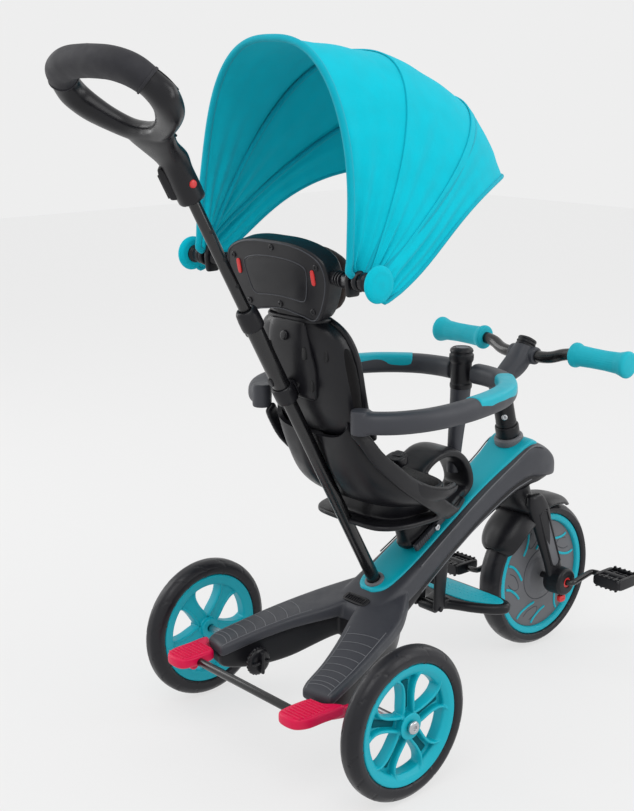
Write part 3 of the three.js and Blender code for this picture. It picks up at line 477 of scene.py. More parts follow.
# ---------- frame ----------
SPINE = [(98, 170, 40, 30, 116, 28), (150, 194, 45, 40, 118, 32), (200, 221, 43, 46, 148, 30),
         (270, 260, 39, 44, 196, 28), (340, 298, 37, 44, 236, 28), (400, 331, 39, 48, 264, 30),
         (440, 353, 42, 58, 278, 33), (472, 346, 41, 56, 281, 33), (502, 326, 34, 40, 285, 26),
         (524, 300, 18, 18, 288, 13)]
ARM = [(20, 160, 190, 28, 36, 126, 9), (50, 104, 171, 36, 32, 116, 25), (76, 44, 156, 31, 28, 92, 22),
       (93, -6, 143, 27, 26, 86, 21), (103, -46, 133, 25, 24, 92, 19), (106, -60, 127, 22, 18, 98, 14)]


def arm_across(i):
    a, b = ARM[max(i - 1, 0)], ARM[min(i + 1, len(ARM) - 1)]
    return Vector((a[1] - b[1], b[0] - a[0], 0)).normalized()


spine_top = loft([((0, y, top - d / 2), X * half, Z * d / 2, 4.5) for y, top, half, d, _, _ in SPINE], 56, 6,
                 (8, 8))
ARM_LIP = [34, 23, 18, 17, 17, 16]
arm_top = loft([((x, y, top - lip / 2), arm_across(i) * (half + 0.5), Z * lip / 2, 6)
                for i, ((x, y, top, half, _, _, _), lip) in enumerate(zip(ARM, ARM_LIP))], 64, 6, (6, 4))
frame_shell = piece("frame_top_shell", merge(spine_top, both(arm_top)), GREY, "base",
                    ["frame_shell"], fused=1.9, soften=5)
spine_low = loft([((0, y, (top - d / 2 + low) / 2), X * half, Z * (top - d / 2 - low) / 2, 4.5)
                  for y, top, _, d, low, half in SPINE[:-1]], 48, 6, (6, 5))
arm_low = loft([((x, y, (top - lip / 2 + low) / 2), arm_across(i) * (half * 0.4 + wide * 0.52),
                 Z * (top - lip / 2 - low) / 2, 6)
                 for i, ((x, y, top, wide, _, low, half), lip) in enumerate(zip(ARM, ARM_LIP))], 56, 6,
                 (3, 5))
neck_collar = lathe([(0, -80), (23, -80), (26, -74), (27, -56), (30, -40), (0, -40)], HEAD, STEER_DIR, 56, 3)
piece("frame_lower_shell", merge(spine_low, both(arm_low), neck_collar), BLACK, "base",
      ["frame_underside"], fused=2.2, soften=4)

COVER = [(132, 12), (142, 24), (160, 29), (200, 31), (270, 29), (340, 27), (400, 31), (440, 36), (462, 32),
         (476, 14)]


def top_at(y):
    return float(np.interp(y, [s[0] for s in SPINE], [s[1] for s in SPINE]))


cover_rows = [((0, y, top_at(y) - 2.5), X * half, Z * 6.6, 3.6) for y, half in COVER]
piece("spine_strip", loft(cover_rows, 64, 4, (3, 3)), TEAL, "base", ["spine_cover"])
# Painted highlights: light grey beads along the top shell's upper shoulders and lower rim, standing in for
# the light caught there.
edge_highlights = []
for side in (-1, 1):
    edge_highlights.append(tube([(side * (half - 1.2), y, top - 2.2 - d * 0.06)
                       for y, top, half, d, _, _ in SPINE[2:-2]], 1.1, step=6, around=10))
    edge_highlights.append(tube([(side * (half + 0.2), y, top - d + 2) for y, top, half, d, _, _ in SPINE[2:-3]],
                      0.9, step=6, around=10))
piece("frame_edge_highlights", merge(*edge_highlights), GREY_LIGHT, "base")
piece("head_ring",
      lathe([(16.4, -4), (22.5, -4), (22.5, 5.5), (19.5, 8), (16.4, 8), (16.4, -4)], HEAD, STEER_DIR, 64,
            1.4), GREY_LIGHT, "base", ["head_trim_ring"])
piece("bar_entry_ring",
      lathe([(9.9, 2), (15, 2), (14.5, 7), (12, 8.5), (9.9, 8.5), (9.9, 2)], BAR_BASE, BAR_DIR, 48, 1.2),
      GREY_LIGHT, "base")

graph = bpy.context.evaluated_depsgraph_get()
shell_tree = BVHTree.FromObject(frame_shell, graph)


def on_shell(x, y, lift=0.0):
    """The point on the frame's top shell under (x, y), in millimetres."""
    start = at((x, y, 400))
    hit = shell_tree.ray_cast(start, Vector((0, 0, -1)))[0]
    z = hit.z * 1000 if hit else top_at(y)
    return Vector((x, y, z + lift))


arm_rows = np.array([(x, y, half) for x, y, _, half, _, _, _ in ARM], float)
treads = []
for side in (-1, 1):
    rims = {-1: [], 1: []}
    for k in range(11):
        t = 1.5 + 3.15 * k / 10
        x, y, half = spline(arm_rows, t)
        ahead, behind = spline(arm_rows, min(t + 0.1, 5)), spline(arm_rows, t - 0.1)
        run = Vector((ahead[0] - behind[0], ahead[1] - behind[1], 0)).normalized()
        across = Vector((-run.y, run.x, 0))
        for s in rims:
            p = Vector((x, y, 0)) + across * half * 0.78 * s
            rims[s].append(on_shell(side * p.x, p.y, -0.1))
        if k in (0, 10):
            continue
        arc = []
        for j in range(9):
            f = (j / 4 - 1) * 0.76
            p = Vector((x, y, 0)) + across * half * f - run * (7 * (1 - f * f))
            arc.append(on_shell(side * p.x, p.y, -0.1))
        treads.append(tube(arc, 0.6, step=3, around=8))
    treads += [tube(rims[s], 0.6, step=4, around=8) for s in rims]
piece("arm_tread_lines", merge(*treads), GREY_LIGHT, "base")
badge_c = Vector((0, 112, top_at(112) + 0.4))
badge_run = Vector((0, math.cos(0.42), math.sin(0.42)))
badge_up = Vector((0, -math.sin(0.42), math.cos(0.42)))
ribs = [rod(badge_c + X * (4.2 * k) - badge_run * 5 + badge_up * 2.4,
            badge_c + X * (4.2 * k) + badge_run * 5 + badge_up * 2.4, 1.2, 8) for k in range(-4, 5)]
piece("ribbed_plate", merge(block(badge_c, X * 23, badge_run * 8.5, badge_up * 2, 5, 1.2, 40), *ribs), BLACK,
      "base")
lugs = []
for side in (-1, 1):
    lugs.append(loft([((side * 20, 268, 226), X * 5, Y * 16, 3), ((side * 20, 264, 170), X * 4.2, Y * 12, 3),
                      ((side * 20, 262, 124), X * 4, Y * 11, 3)], 32, 5, (2, 4)))
lugs.append(loft([((0, 276, 205), X * 17, Y * 8, 3.5), ((0, 270, 160), X * 16, Y * 5, 3.5)], 32, 5, (2, 3)))
REST_HINGE = Vector((0, 262, 127))
lug_screw = lathe([(0, -26), (3.6, -26), (3.6, 26), (0, 26)], REST_HINGE, X, 24, 0.8)
piece("footrest_bracket", merge(*lugs, lug_screw), BLACK, "base", sharp=50)

# ---------- rear wheels ----------
def sweep_grooves(count, depth, half):
    """Shallow swooping grooves over a tyre's tread and shoulders."""
    def wave(angle, r, h):
        turn = angle * count / (2 * math.pi) + 0.8 * math.sin(h / half * 1.5)
        gap = abs(turn - round(turn)) * 2 * math.pi * r / count
        return -depth * math.exp(-(gap / 1.1) ** 2) * (1 if 0.3 < abs(h) / half < 0.97 else 0)
    return wave


def tyre(radius, bore, width):
    half = width / 2
    profile = [(bore, -half + 3), (bore + 3, -half + 0.6), (bore + 9, -half), (radius - 9, -half + 0.4)]
    profile += [(radius - 3.2, -half * 0.74), (radius, -half * 0.36)]
    return profile + [(r, -h) for r, h in reversed(profile)] + [profile[0]]


def rear_wheel(name, side, body):
    c = Vector((side * TRACK, 0, REAR_Z))
    x = X * side
    piece(f"rear_tyre_{name}_skin", lathe(tyre(103, 82, 30), c, x, 360, 3.5, sweep_grooves(16, 1.5, 15)),
          TYRE, body, [f"rear_tyre_{name}"], sharp=60)
    ring = lathe([(66, -10), (80, -13), (81.7, -12), (81.7, 12), (80, 13), (73, 11.5), (66, 7), (66, -10)], c,
                 x, 120, 2)
    hub = lathe([(5.5, -13), (15, -13), (15, 9), (18, 12), (18, 14), (5.5, 14), (5.5, -13)], c, x, 48, 1.2)
    parts, channel_shades = [ring, hub], []
    for k in range(5):
        angle = math.radians(90 + 72 * k) * side
        out = Vector((0, math.cos(angle), math.sin(angle)))
        across = x.cross(out)
        web = [(10, 7), (24, 7.5), (42, 7), (56, 9), (68, 20)]
        parts.append(loft([(c + out * r - x * 3, across * w, x * 3, 5) for r, w in web], 24, 4, (0, 0)))
        for s in (-1, 1):
            wall = [(14, 9, 8), (24, 8.5, 9), (40, 8.2, 9), (54, 10.5, 9.5), (63, 16, 10), (69, 26, 10)]
            parts.append(loft([(c + out * r + across * (s * w) + x, across * 2.4, x * h, 3.5)
                               for r, w, h in wall], 16, 3, (0, 0)))
        # Painted shade: dark teal sheets laid in the channels between the spoke walls.
        channel_shades.append(loft([(c + out * 21 + x * 1.2, across * 4.4, x * 0.8, 3),
                             (c + out * 42 + x * 1.2, across * 4.2, x * 0.8, 3),
                             (c + out * 60 + x * 1.2, across * 5.5, x * 0.8, 3)], 16, 3, (2, 2)))
    piece(f"rear_rim_{name}_spokes", merge(*parts), TEAL, body, [f"rear_rim_{name}"],
          fused=1.0, soften=3)
    piece(f"rear_rim_{name}_channels", merge(*channel_shades), TEAL_PAINTED_SHADE, body)
    bolt = lathe([(0, 14), (5, 14), (5.2, 15.5), (9, 15.8), (9, 19), (7.4, 21), (3.4, 21), (3.0, 18.5),
                  (0, 18.5)], c, x, 48, 0.7)
    inner = lathe([(0, -60), (5, -60), (5, -14), (0, -14)], c, x, 32, 0.5)
    piece(f"rear_axle_{name}_bolt", merge(bolt, inner), STEEL, "base", [f"rear_axle_{name}"])


for name, side in SIDES:
    rear_wheel(name, side, f"rear_wheel_{name}")

# ---------- brake ----------
PEDAL = [(-19, -72), (-19, -108), (-13, -121), (3, -124), (18, -120), (27, -104), (28, -78), (30, -52),
         (26, -44), (15, -50), (5, -60), (-10, -63)]
BRAKE_ARM = 138
for name, side in SIDES:
    tread = plate(smooth_outline(PEDAL, 110), (117, 0, 112), X, Y, -7, 8, 4)
    tread = tread if side > 0 else mirrored(tread)
    arm = loft([((side * BRAKE_ARM, -66, 112), X * 8, Z * 8, 3),
                ((side * (BRAKE_ARM + 1), -40, 107), X * 6, Z * 8, 3),
                ((side * BRAKE_ARM, -18, 104), X * 5, Z * 9, 3),
                ((side * BRAKE_ARM, 0, REAR_Z), X * 5, Z * 12, 2.4)], 28, 4, (3, 4))
    eye = lathe(sleeve(5.6, 13, -7, 7), (side * BRAKE_ARM, 0, REAR_Z), X, 40, 1.5)
    lip = rod((side * 104, -96, 104), (side * 128, -96, 104), 7, 24, 3)
    piece(f"brake_pedal_{name}_body", merge(tread, arm, eye, lip), RED, "brake", [f"brake_pedal_{name}"],
          fused=1.1, soften=3)
    lines = [rod((side * 104, -68 - 6 * k, 120.2), (side * BRAKE_ARM, -67 - 6 * k, 120.2), 1.1, 8, 0.6)
             for k in range(9)]
    piece(f"brake_pedal_{name}_ribs", merge(*lines), RED, "brake")
piece("brake_crossbar", rod((-106, -92, 110), (106, -92, 110), 5.8, 32, 1), TUBE, "brake", ["brake_bar"])
fins = [block((-51, -22, 104), Y * 2.6, Z * 16, X * 6.5, 4, 1.2),
        block((-51.5, -22, 104), Y * 16, Z * 2.2, X * 4, 4, 1)]
KNOB = Vector((-53, -22, 104))
knob = lathe([(0, -9), (17, -9), (19, -6), (19, -1), (16, 1), (12, 2), (0, 2)], KNOB, X, 56, 1)
knob_teeth = lathe(sleeve(17.5, 19.6, -6, -2), KNOB, X, 120, 0.4,
                   lambda a, r, h: 0.6 * math.cos(24 * a) if r > 18 else 0)
piece("arm_knob_body", merge(knob, knob_teeth, *fins), BLACK_GLOSS, "knob", ["arm_knob"])

# ---------- steering ----------
def leg_at(side, t):
    return Vector((side * 33, 466, 250)).lerp(Vector((side * 46, HUB.y, HUB.z)), t)


legs = []
for side in (-1, 1):
    sizes = [(-0.12, 14, 8), (0.04, 22, 9), (0.25, 20.5, 8.5), (0.5, 18.5, 8), (0.78, 17, 8), (0.98, 18, 8),
             (1.14, 16, 8)]
    legs.append(loft([(leg_at(side, t), X * w, Y * f, 2.7) for t, f, w in sizes], 48, 4, (5, 6)))
crown = loft([(on_steering(-122), X * 39, Y * 24, 3.2), (on_steering(-112), X * 38, Y * 25, 3),
              (on_steering(-102), X * 27, Y * 23, 2.4), (on_steering(-92), X * 21.5, Y * 21.5, 2),
              (on_steering(-66), X * 20.5, Y * 20.5, 2)], 64, 4, (5, 2))
collar = lathe(sleeve(14, 20.6, -72, -46), HEAD, STEER_DIR, 56, 1.5)
FENDER = [(66, 125, 20), (70, 126.5, 29), (80, 128, 35), (95, 129, 37), (112, 130, 38), (128, 130, 38.5),
          (138, 129, 36), (145, 127, 30), (148.5, 125, 20)]
fender_rows = np.array(FENDER, float)


def fender_point(u, v):
    """The fender over the wheel: u runs rearward and v from side to side."""
    angle, radius, half = spline(fender_rows, u * (len(FENDER) - 1))
    f = 2 * v - 1
    drop = 20 * abs(f) ** 3.2 * min(1, 0.45 + max(angle - 95, 0) / 40)
    a = math.radians(angle)
    return (half * f, HUB.y + (radius - drop) * math.cos(a), HUB.z + (radius - drop) * math.sin(a))


cowl = grid(fender_point, 54, 40, -4.0)
piece("fork_and_crown", merge(crown, *legs), BLACK, "steering", ["fork"], fused=1.3,
      soften=5)
piece("front_fender", cowl, BLACK, "steering", ["fender"], fused=1.2, soften=6)
piece("fork_collar", collar, BLACK, "steering")
for name, side in SIDES:
    top, low = leg_at(side, 0.10) + Y * 1, leg_at(side, 0.80)
    run = (low - top).normalized()
    wide = run.cross(X * side).normalized()
    normal = wide.cross(run).normalized()
    normal = normal if normal.x * side > 0 else -normal
    half = (low - top).length / 2
    middle = (top + low) / 2 + normal * 7.6
    slot_outline = []
    for k in range(72):
        a = 2 * math.pi * k / 72
        slot_outline.append((9.5 * math.cos(a), math.copysign(half - 9, math.sin(a)) + 9.5 * math.sin(a)))
    loop = [middle + wide * p[0] + run * p[1] + normal * 0.6 for p in slot_outline[::3]]
    along = run if wide.cross(run).dot(normal) > 0 else -run
    slot_outline = [(x * 0.97, y * 0.985) for x, y in slot_outline]
    piece(f"fork_panel_{name}", plate(slot_outline, middle - normal * 1.6, wide, along, 0, 2, 0.8),
          GREY_LIGHT, "steering")
    piece(f"fork_panel_rim_{name}", tube(loop + loop[:2], 1.5, normal, 10, 3), BLACK, "steering")

column = lathe([(0, -82), (15.7, -82), (15.7, 30), (15.9, 31), (15.9, 33), (15.6, 34), (15.6, 84), (0, 84)],
               HEAD, STEER_DIR, 64, 0.8)
low_sleeve = lathe([(15.6, 9), (18.4, 9), (18.4, 24), (17.6, 26), (15.6, 26), (15.6, 9)], HEAD, STEER_DIR, 64,
                   0.8)
piece("column_tube", merge(column, low_sleeve), BLACK, "steering", ["steering_column"])
screw_at = on_steering(42)
screw_out = Vector((0.62, -0.78, 0)).normalized()
piece("column_screw",
      lathe([(0, 14), (4.6, 14), (4.6, 16.6), (3.6, 17.4), (1.7, 17.4), (1.5, 16), (0, 16)], screw_at,
            screw_out, 32, 0.5), STEEL, "steering")
STEM_AXIS = Vector((0, 0.53, 0.85)).normalized()
STEM_SIDE = Vector((0, 0.85, -0.53)).normalized()
stem_rows = [(on_steering(80), X * 16.5, Y * 16.5, 2), (on_steering(96), X * 17, Y * 17.5, 2),
             (Vector((0, 428, 460)), X * 18, Vector((0, 17, -7)), 2.2),
             (Vector((0, 444, 472)), X * 19, STEM_SIDE * 17, 2.3),
             (Vector((0, 456, 486)), X * 17, STEM_SIDE * 16, 2.1),
             (Vector((0, 464, 496)), X * 15, STEM_SIDE * 14.5, 2)]
bar_boss = rod((-25, 462, 483), (25, 462, 483), 13.5, 40, 3)
piece("stem_body", merge(loft(stem_rows, 56, 4, (2, 3)), bar_boss), GREY, "steering", ["stem"],
      fused=1.1, soften=5)
cap = lathe([(0, 0), (15, 0), (15.2, 2), (14, 3), (14, 4), (15.2, 5), (15.2, 7), (14, 8), (14, 9), (15, 10),
             (14.5, 13), (10, 14.5), (0, 14.5)], Vector((0, 462.5, 494)), STEM_AXIS, 64, 0.7)
piece("stem_cap", cap, BLACK, "steering")
half_bar = [(14, 462, 483), (34, 463, 483), (50, 466, 485), (68, 471, 491), (86, 472, 494), (100, 472, 494),
            (178, 472, 494)]
piece("handlebar_tube", merge(*[tube(p, 9, Z, 28, 4, 1, 1) for p in (half_bar, flip(half_bar))]), TUBE,
      "steering", ["handlebar"])
GRIP_LINE = Vector((0, 472, 494))
GRIP = [(9.4, 86), (16, 86), (18.6, 88), (18.8, 93), (15.8, 99), (14.8, 120), (14.6, 145), (15.6, 166),
        (18.4, 176), (19.8, 180), (19.8, 184), (16, 187), (0, 187.5)]
for name, side in SIDES:
    piece(f"grip_{name}_rubber", lathe(GRIP, GRIP_LINE, X * side, 96, 2.2,
                                       lambda a, r, h: 0.22 * math.cos(28 * a) if 104 < h < 166 else 0),
          TEAL_SOFT, "steering", [f"grip_{name}"])

# ---------- front wheel, cranks and pedals ----------
piece("front_tyre_skin", lathe(tyre(118, 100, 40), HUB, X, 360, 4, sweep_grooves(18, 1.1, 20)), TYRE,
      "front_wheel", ["front_tyre"], sharp=60)
ring_profile = [(88, -12), (90, -16), (98, -16.5), (99.8, -14), (99.8, 14), (98, 16.5), (90, 16), (88, 12),
                (88, -12)]
piece("front_rim_ring", lathe(ring_profile, HUB, X, 144, 1.6), TEAL, "front_wheel", ["front_rim"])
disc_profile = [(0, -17), (30, -17), (34, -14.5), (60, -13.6), (88.5, -11.5), (88.5, 11.5), (60, 13.6),
                (34, 14.5), (30, 17), (0, 17)]
piece("front_disc", lathe(disc_profile, HUB, X, 144, 2), GREY_LIGHT, "front_wheel")


def disc_point(side, angle, radius, lift):
    face = float(np.interp(radius, [30, 34, 60, 88.5], [17, 14.5, 13.6, 11.5]))
    a = math.radians(angle)
    return HUB + Vector((side * (face + lift), radius * math.cos(a), radius * math.sin(a)))


waves, outlines = [], []


def disc_curve(side, points, radius, lift, steps=12):
    """A bead on the disc through (angle, radius) points."""
    rows = [np.array(p, float) for p in points]
    path = []
    for j in range(steps + 1):
        angle, r = spline(rows, j / steps * (len(rows) - 1))
        path.append(disc_point(side, side * angle, r, lift))
    return tube(path, radius, X, 12, 2.5, 0.6, 1.2)


for side in (-1, 1):
    for k in range(5):
        turn = 72 * k + 14
        waves.append(disc_curve(side, [(turn, 84), (turn + 1, 70), (turn + 9, 56), (turn + 22, 47)], 2.1,
                                0.4))
        waves.append(disc_curve(side, [(turn + 27, 83), (turn + 31, 72), (turn + 41, 63), (turn + 52, 60)],
                                2.1, 0.4))
        outlines.append(disc_curve(side,
                                   [(turn + 9, 76), (turn + 13, 64), (turn + 24, 56), (turn + 34, 56),
                                    (turn + 33, 66), (turn + 22, 78)], 0.8, -0.1, 24))
    ring_line = [disc_point(side, 10 * k, 42, -0.1) for k in range(38)]
    outlines.append(tube(ring_line, 0.8, X, 8, 3, 0.8, 0.2))
piece("front_disc_waves", merge(*waves), TEAL, "front_wheel")
piece("front_disc_outlines", merge(*outlines), GREY, "front_wheel")
for name, side in SIDES:
    cap = lathe([(6.5, 36), (22, 36), (23, 44), (22, 55), (22, 64), (19, 67.5), (8.5, 68), (8, 66), (6.5, 66),
                 (6.5, 36)], HUB, X * side, 72, 1.6)
    piece(f"hub_cap_{name}_body", cap, BLACK, "steering", [f"hub_cap_{name}"])
    piece(f"hub_core_{name}", lathe(sleeve(4.8, 8, 62, 67), HUB, X * side, 36, 0.4), RED_SMALL, "front_wheel")
CRANK = [54 * math.cos(math.radians(8)), 54 * math.sin(math.radians(8))]
cranks = [rod(HUB - X * 62, HUB + X * 62, 5.2, 28)]
for side in (-1, 1):
    end = HUB + Vector((0, side * CRANK[0], side * CRANK[1]))
    first = (end - HUB).normalized()
    path = [HUB + X * side * 58, HUB + X * side * 69 + first * 1, HUB + X * side * 75 + first * 7,
            end + X * side * 75 - first * 7, end + X * side * 81 - first * 1, end + X * side * 94,
            end + X * side * 143]
    cranks.append(tube(path, 4.6, Z, 24, 3, 1, 1))
piece("crank_rods", merge(*cranks), TUBE, "front_wheel", ["crank_axle"])
for name, side in SIDES:
    c = HUB + Vector((side * 120, side * CRANK[0], side * CRANK[1]))
    bars = [block(c + Y * s * 23, X * 24, Z * 9, Y * 3.4, 5, 2) for s in (-1, 1)]
    bars += [block(c + X * s * 22, Y * 24, Z * 9, X * 3.2, 5, 2) for s in (-1, 1)]
    bars += [block(c + Y * s * 12, X * 22, Z * 6.5, Y * 1.3, 5, 0.6) for s in (-1, 1)]
    bars += [block(c + X * s * 9, Y * 22, Z * 6.5, X * 1.3, 5, 0.6) for s in (-1, 1)]
    bars.append(lathe(sleeve(5, 8.5, -24, 24), c, X, 32, 1))
    for s in (-1, 1):
        for k in range(-2, 3):
            bars += [block(c + Y * s * 23 + X * k * 9 + Z * t * 9.6, X * 1.6, Y * 2.4, Z * 0.9, 4, 0.3, 12)
                     for t in (-1, 1)]
    piece(f"pedal_{name}_cage", merge(*bars), BLACK, f"{name}_pedal", [f"pedal_{name}"])
piece("clutch_slider",
      merge(block(HUB + Vector((59, -3, -27.5)), Y * 7, Z * 5.5, X * 3.5, 4, 1.2),
            rod(HUB + Vector((62, -7, -29)), HUB + Vector((62, 1, -29)), 1, 8)), RED_SMALL, "clutch",
            ["clutch_tab"])

# ---------- footrest ----------
REST = [(14, 268), (20, 282), (52, 298), (80, 317), (91, 334), (86, 348), (66, 355), (30, 357)]
rest_outline = whole_outline(REST, 120)
piece("footrest_body",
      merge(plate(rest_outline, (0, 0, 0), X, Y, 119, 134.5, 6.5),
            lathe(sleeve(4.4, 8, -15.4, 15.4), REST_HINGE, X, 32, 1),
            loft([((0, 266, 128), X * 15, Z * 7, 3), ((0, 288, 134), X * 20, Z * 5, 3)], 32, 4, (2, 3))),
            BLACK, "footrest", ["footrest"])
INSET = [(26, 300), (50, 307), (72, 321), (81, 333), (76, 342), (60, 347), (26, 348)]
inset = whole_outline(INSET, 110)
piece("footrest_pad", plate(inset, (0, 0, 0), X, Y, 133, 136, 1.2), TEAL, "footrest")
dots = [lathe([(0, 0), (1.5, 0), (1.2, 0.6), (0, 0.7)], (x, y, 135.8), Z, 10, 0.2)
        for x in range(-68, 69, 8) for y in (318, 326, 334) if abs(x) < 30 + (y - 304) * 1.7]
piece("footrest_dots", merge(*dots), TEAL, "footrest")

# ---------- seat ----------
CLAMP = Vector((0, 240, 243.3))


def on_clamp(forward, up, x=0.0):
    return CLAMP + SPINE_DIR * forward + BAR_DIR * up + X * x


def seat_back(z):
    return -38 + (699 - z) * math.tan(SEAT_LEAN)


def bar_y(z):
    return BAR_BASE.y - (z - BAR_BASE.z) * math.tan(SLOPE)


def clear_of_bar(x, y, z, room, width):
    """The point, moved this far in front of the push bar's axis where the bar passes behind it."""
    return (x, y + max(bar_y(z) + room - y, 0) * math.exp(-(x / width) ** 4), z)


clamp_rows = [(5, 36, 17), (9, 38, 18.5), (16, 38, 18.5), (19, 35.5, 16.8), (44, 31, 16), (66, 27, 15)]
piece("seat_clamp_body",
      loft([(on_clamp(0, up), X * wide, SPINE_DIR * half, 3) for up, half, wide in clamp_rows], 64, 3,
           (2, 2)), BLACK_GLOSS, "base", ["seat_clamp"])
lever_parts = [loft([(on_clamp(36, 13, 22.5), X * 3.6, BAR_DIR * 5.5, 4),
                     (on_clamp(0, 12, 23), X * 4.4, BAR_DIR * 5, 4),
                     (on_clamp(-34, 11, 24), X * 3.6, BAR_DIR * 6, 4)], 32, 3, (2.5, 2.5))]
lever_parts += [rod(on_clamp(-6 - 4.2 * k, 6.6, 27.2), on_clamp(-6 - 4.2 * k, 16, 27.2), 1.1, 10)
                for k in range(6)]
piece("seat_lever_body", merge(*lever_parts), GREY, "seat_lever", ["clamp_lever"])
piece("seat_lever_bolt",
      lathe([(0, 0), (5, 0), (5, 2.6), (4, 3.6), (1.8, 3.6), (1.6, 2), (0, 2)], on_clamp(14, 12, 26.4), X, 32,
            0.5), STEEL, "seat_lever")

FLANGE = [(40, 88), (66, 98), (80, 122), (85, 160), (83, 196), (72, 224), (54, 252), (34, 290), (18, 314)]
flange = plate(whole_outline(FLANGE, 140), (0, 0, 0), X, Y, 298, 306, 3)
bowl = loft([((0, 168, 300), X * 58, Y * 58, 3), ((0, 168, 316), X * 70, Y * 57, 3),
             ((0, 168, 334), X * 80, Y * 56, 3), ((0, 170, 348), X * 86, Y * 55, 3)], 72, 4, (3, 4))
pommel_path = [(0, 214, 344), (0, 232, 360), (0, 254, 368), (0, 278, 366), (0, 300, 353), (0, 316, 331),
               (0, 320, 309), (0, 306, 296), (0, 284, 292)]
pommel_half = [30, 31, 32, 32, 31, 29, 27, 26, 24]
pommel = []
for i, (p, half) in enumerate(zip(pommel_path, pommel_half)):
    pommel.append((p, X * half, run_at(pommel_path, i).cross(X).normalized() * 7.5, 3.2))
band = []
BAND = [(84, 26, 458, 9), (91, 38, 443, 10), (96, 60, 414, 11), (98.5, 88, 389, 12), (98, 116, 367, 12),
        (93, 164, 336, 13), (80, 214, 304, 12.5), (60, 248, 296, 12), (36, 284, 293, 11)]
for i, (x, y, z, wide) in enumerate(BAND):
    run = run_at([row[:3] for row in BAND], i)
    out = (X - run * run.x).normalized()
    out = (out * (1 if i < 6 else 0.6) + (Vector() if i < 6 else Z * -0.5)).normalized()
    band.append(((x, y, z), out * 4.2, run.cross(out).normalized() * wide, 4))
piece("saddle_body", merge(flange, bowl, loft(pommel, 48, 4, (4, 4)), both(loft(band, 36, 5, (3, 3)))), BLACK,
      "base", ["saddle"], fused=1.9, soften=6)

BUCKET = [(30, 440, 464, 64), (38, 412, 458, 67), (52, 380, 442, 72), (74, 352, 412, 81), (110, 334, 382, 92),
          (150, 328, 358, 96), (190, 327, 346, 92), (226, 329, 341, 76)]
bucket_rows = np.array(BUCKET, float)


def bucket_point(u, v):
    """The bucket's outer face: u runs from back to front and v from side to side."""
    y, floor, rim, half = spline(bucket_rows, u * (len(BUCKET) - 1))
    a = math.pi * (1 - v)
    c = math.copysign(abs(math.cos(a)) ** 0.6, math.cos(a))
    x, z = half * c, rim - (rim - floor) * abs(math.sin(a)) ** 0.6
    return clear_of_bar(x, y, z, 21, 19)


piece("bucket_body", grid(bucket_point, 48, 72, -6.5), BLACK, "base", ["bucket_shell"],
      sharp=60)
rim_path = [bucket_point(i / 24, 0.0) for i in range(25)]
piece("bucket_rim", both(tube([(x, y, z) for x, y, z in rim_path], 4.2, X, 16, 5)), BLACK, "base")
piece("bucket_clips", both(block((40, 111.5, 341), X * 8, Z * 6.5, Y * 4, 4.5, 1.5)), TEAL, "base")

BACK = [(436, 74, 30, 24), (450, 79, 34, 16), (476, 80, 36, 7), (500, 82, 36, 4), (545, 82, 36, 3),
        (572, 77, 34, 2), (588, 66, 30, 3), (598, 50, 24, 6)]
back_rows = np.array(BACK, float)


def back_point(u, v):
    """The backrest's rear face: u runs upward and v from side to side."""
    z, half, depth, ahead = spline(back_rows, u * (len(BACK) - 1))
    a = math.pi * v
    c = math.copysign(abs(math.cos(a)) ** 0.62, math.cos(a))
    x = half * c
    y = seat_back(z) + ahead + depth * (1 - abs(math.sin(a)) ** 0.62)
    return clear_of_bar(x, y, z, 13.5, 15)


def back_y(x, z):
    """The rear face of the backrest at x, z."""
    u = float(np.interp(z, [r[0] for r in BACK], np.arange(len(BACK)))) / (len(BACK) - 1)
    half = spline(back_rows, u * (len(BACK) - 1))[1]
    c = min(abs(x) / half, 1) ** (1 / 0.62)
    return back_point(u, math.acos(c) / math.pi)[1]


piece("backrest_body", grid(back_point, 64, 84, 6.0), BLACK, "base", ["backrest_shell"],
      sharp=60)
rim = [back_point(i / 20, 0.0) for i in range(21)]
top_edge = [back_point(1.0, j / 12) for j in range(13)]
path = rim + top_edge[1:-1] + flip(reversed(rim))
piece("backrest_rim", tube([(x, y + 1, z) for x, y, z in path], 4.6, Vector((0.05, 1, 0.1)), 20, 5), BLACK,
      "base")
column = []
for z, half, lift in ((488, 30, 6), (500, 36, 9), (530, 42, 10), (560, 40, 9), (584, 36, 6), (598, 32, 4)):
    column.append(((0, back_y(0, min(z, 590)) + 4 - lift / 2, z), X * half, Y * (lift / 2 + 4), 3.2))
piece("backrest_column", loft(column, 64, 4, (6, 3)), BLACK, "base", fused=1.6, soften=8)
marks = [lathe([(0, -2), (6.5, -2), (6.5, 1.6), (5, 2.6), (0, 2.6)], (0, back_y(0, 576) - 8.2, 576),
               Vector((0, -1, 0.2)), 40, 0.8)]
piece("backrest_button", merge(*marks), BLACK_GLOSS, "base")
# Painted shade: dark blocks and a dark disc standing in for the shade inside the backrest's slots and its
# round hole.
slots = []
for x, z in ((-34, 556), (34, 556), (-36, 512), (36, 512)):
    slots.append(block((x, back_y(x, z) - 8.4, z), X * 3, Z * 8, Y * 2.2, 3.4, 0.8, 24))
for x, z in ((-60, 556), (60, 556)):
    slots.append(block((x, back_y(x, z) + 0.6, z), X * 3, Z * 9, Y * 1.5, 3.4, 0.5, 24))
slots.append(lathe([(0, -3), (15, -3), (15, 1.2), (13, 1.8), (0, 1.8)], (0, back_y(0, 516) - 7, 516),
                   Vector((0, -1, 0.2)), 48, 0.8))
piece("backrest_slot_shades", merge(*slots), RECESS_SHADE, "base")
piece("recline_key",
      merge(block((87, 40, 440), Y * 6, Z * 6, X * 4, 3.2, 1.6),
            block((91.2, 40, 440), Y * 3.4, Z * 3.4, X * 0.8, 3, 0.5)), RED_SMALL, "recline_key",
            ["recline_button"])
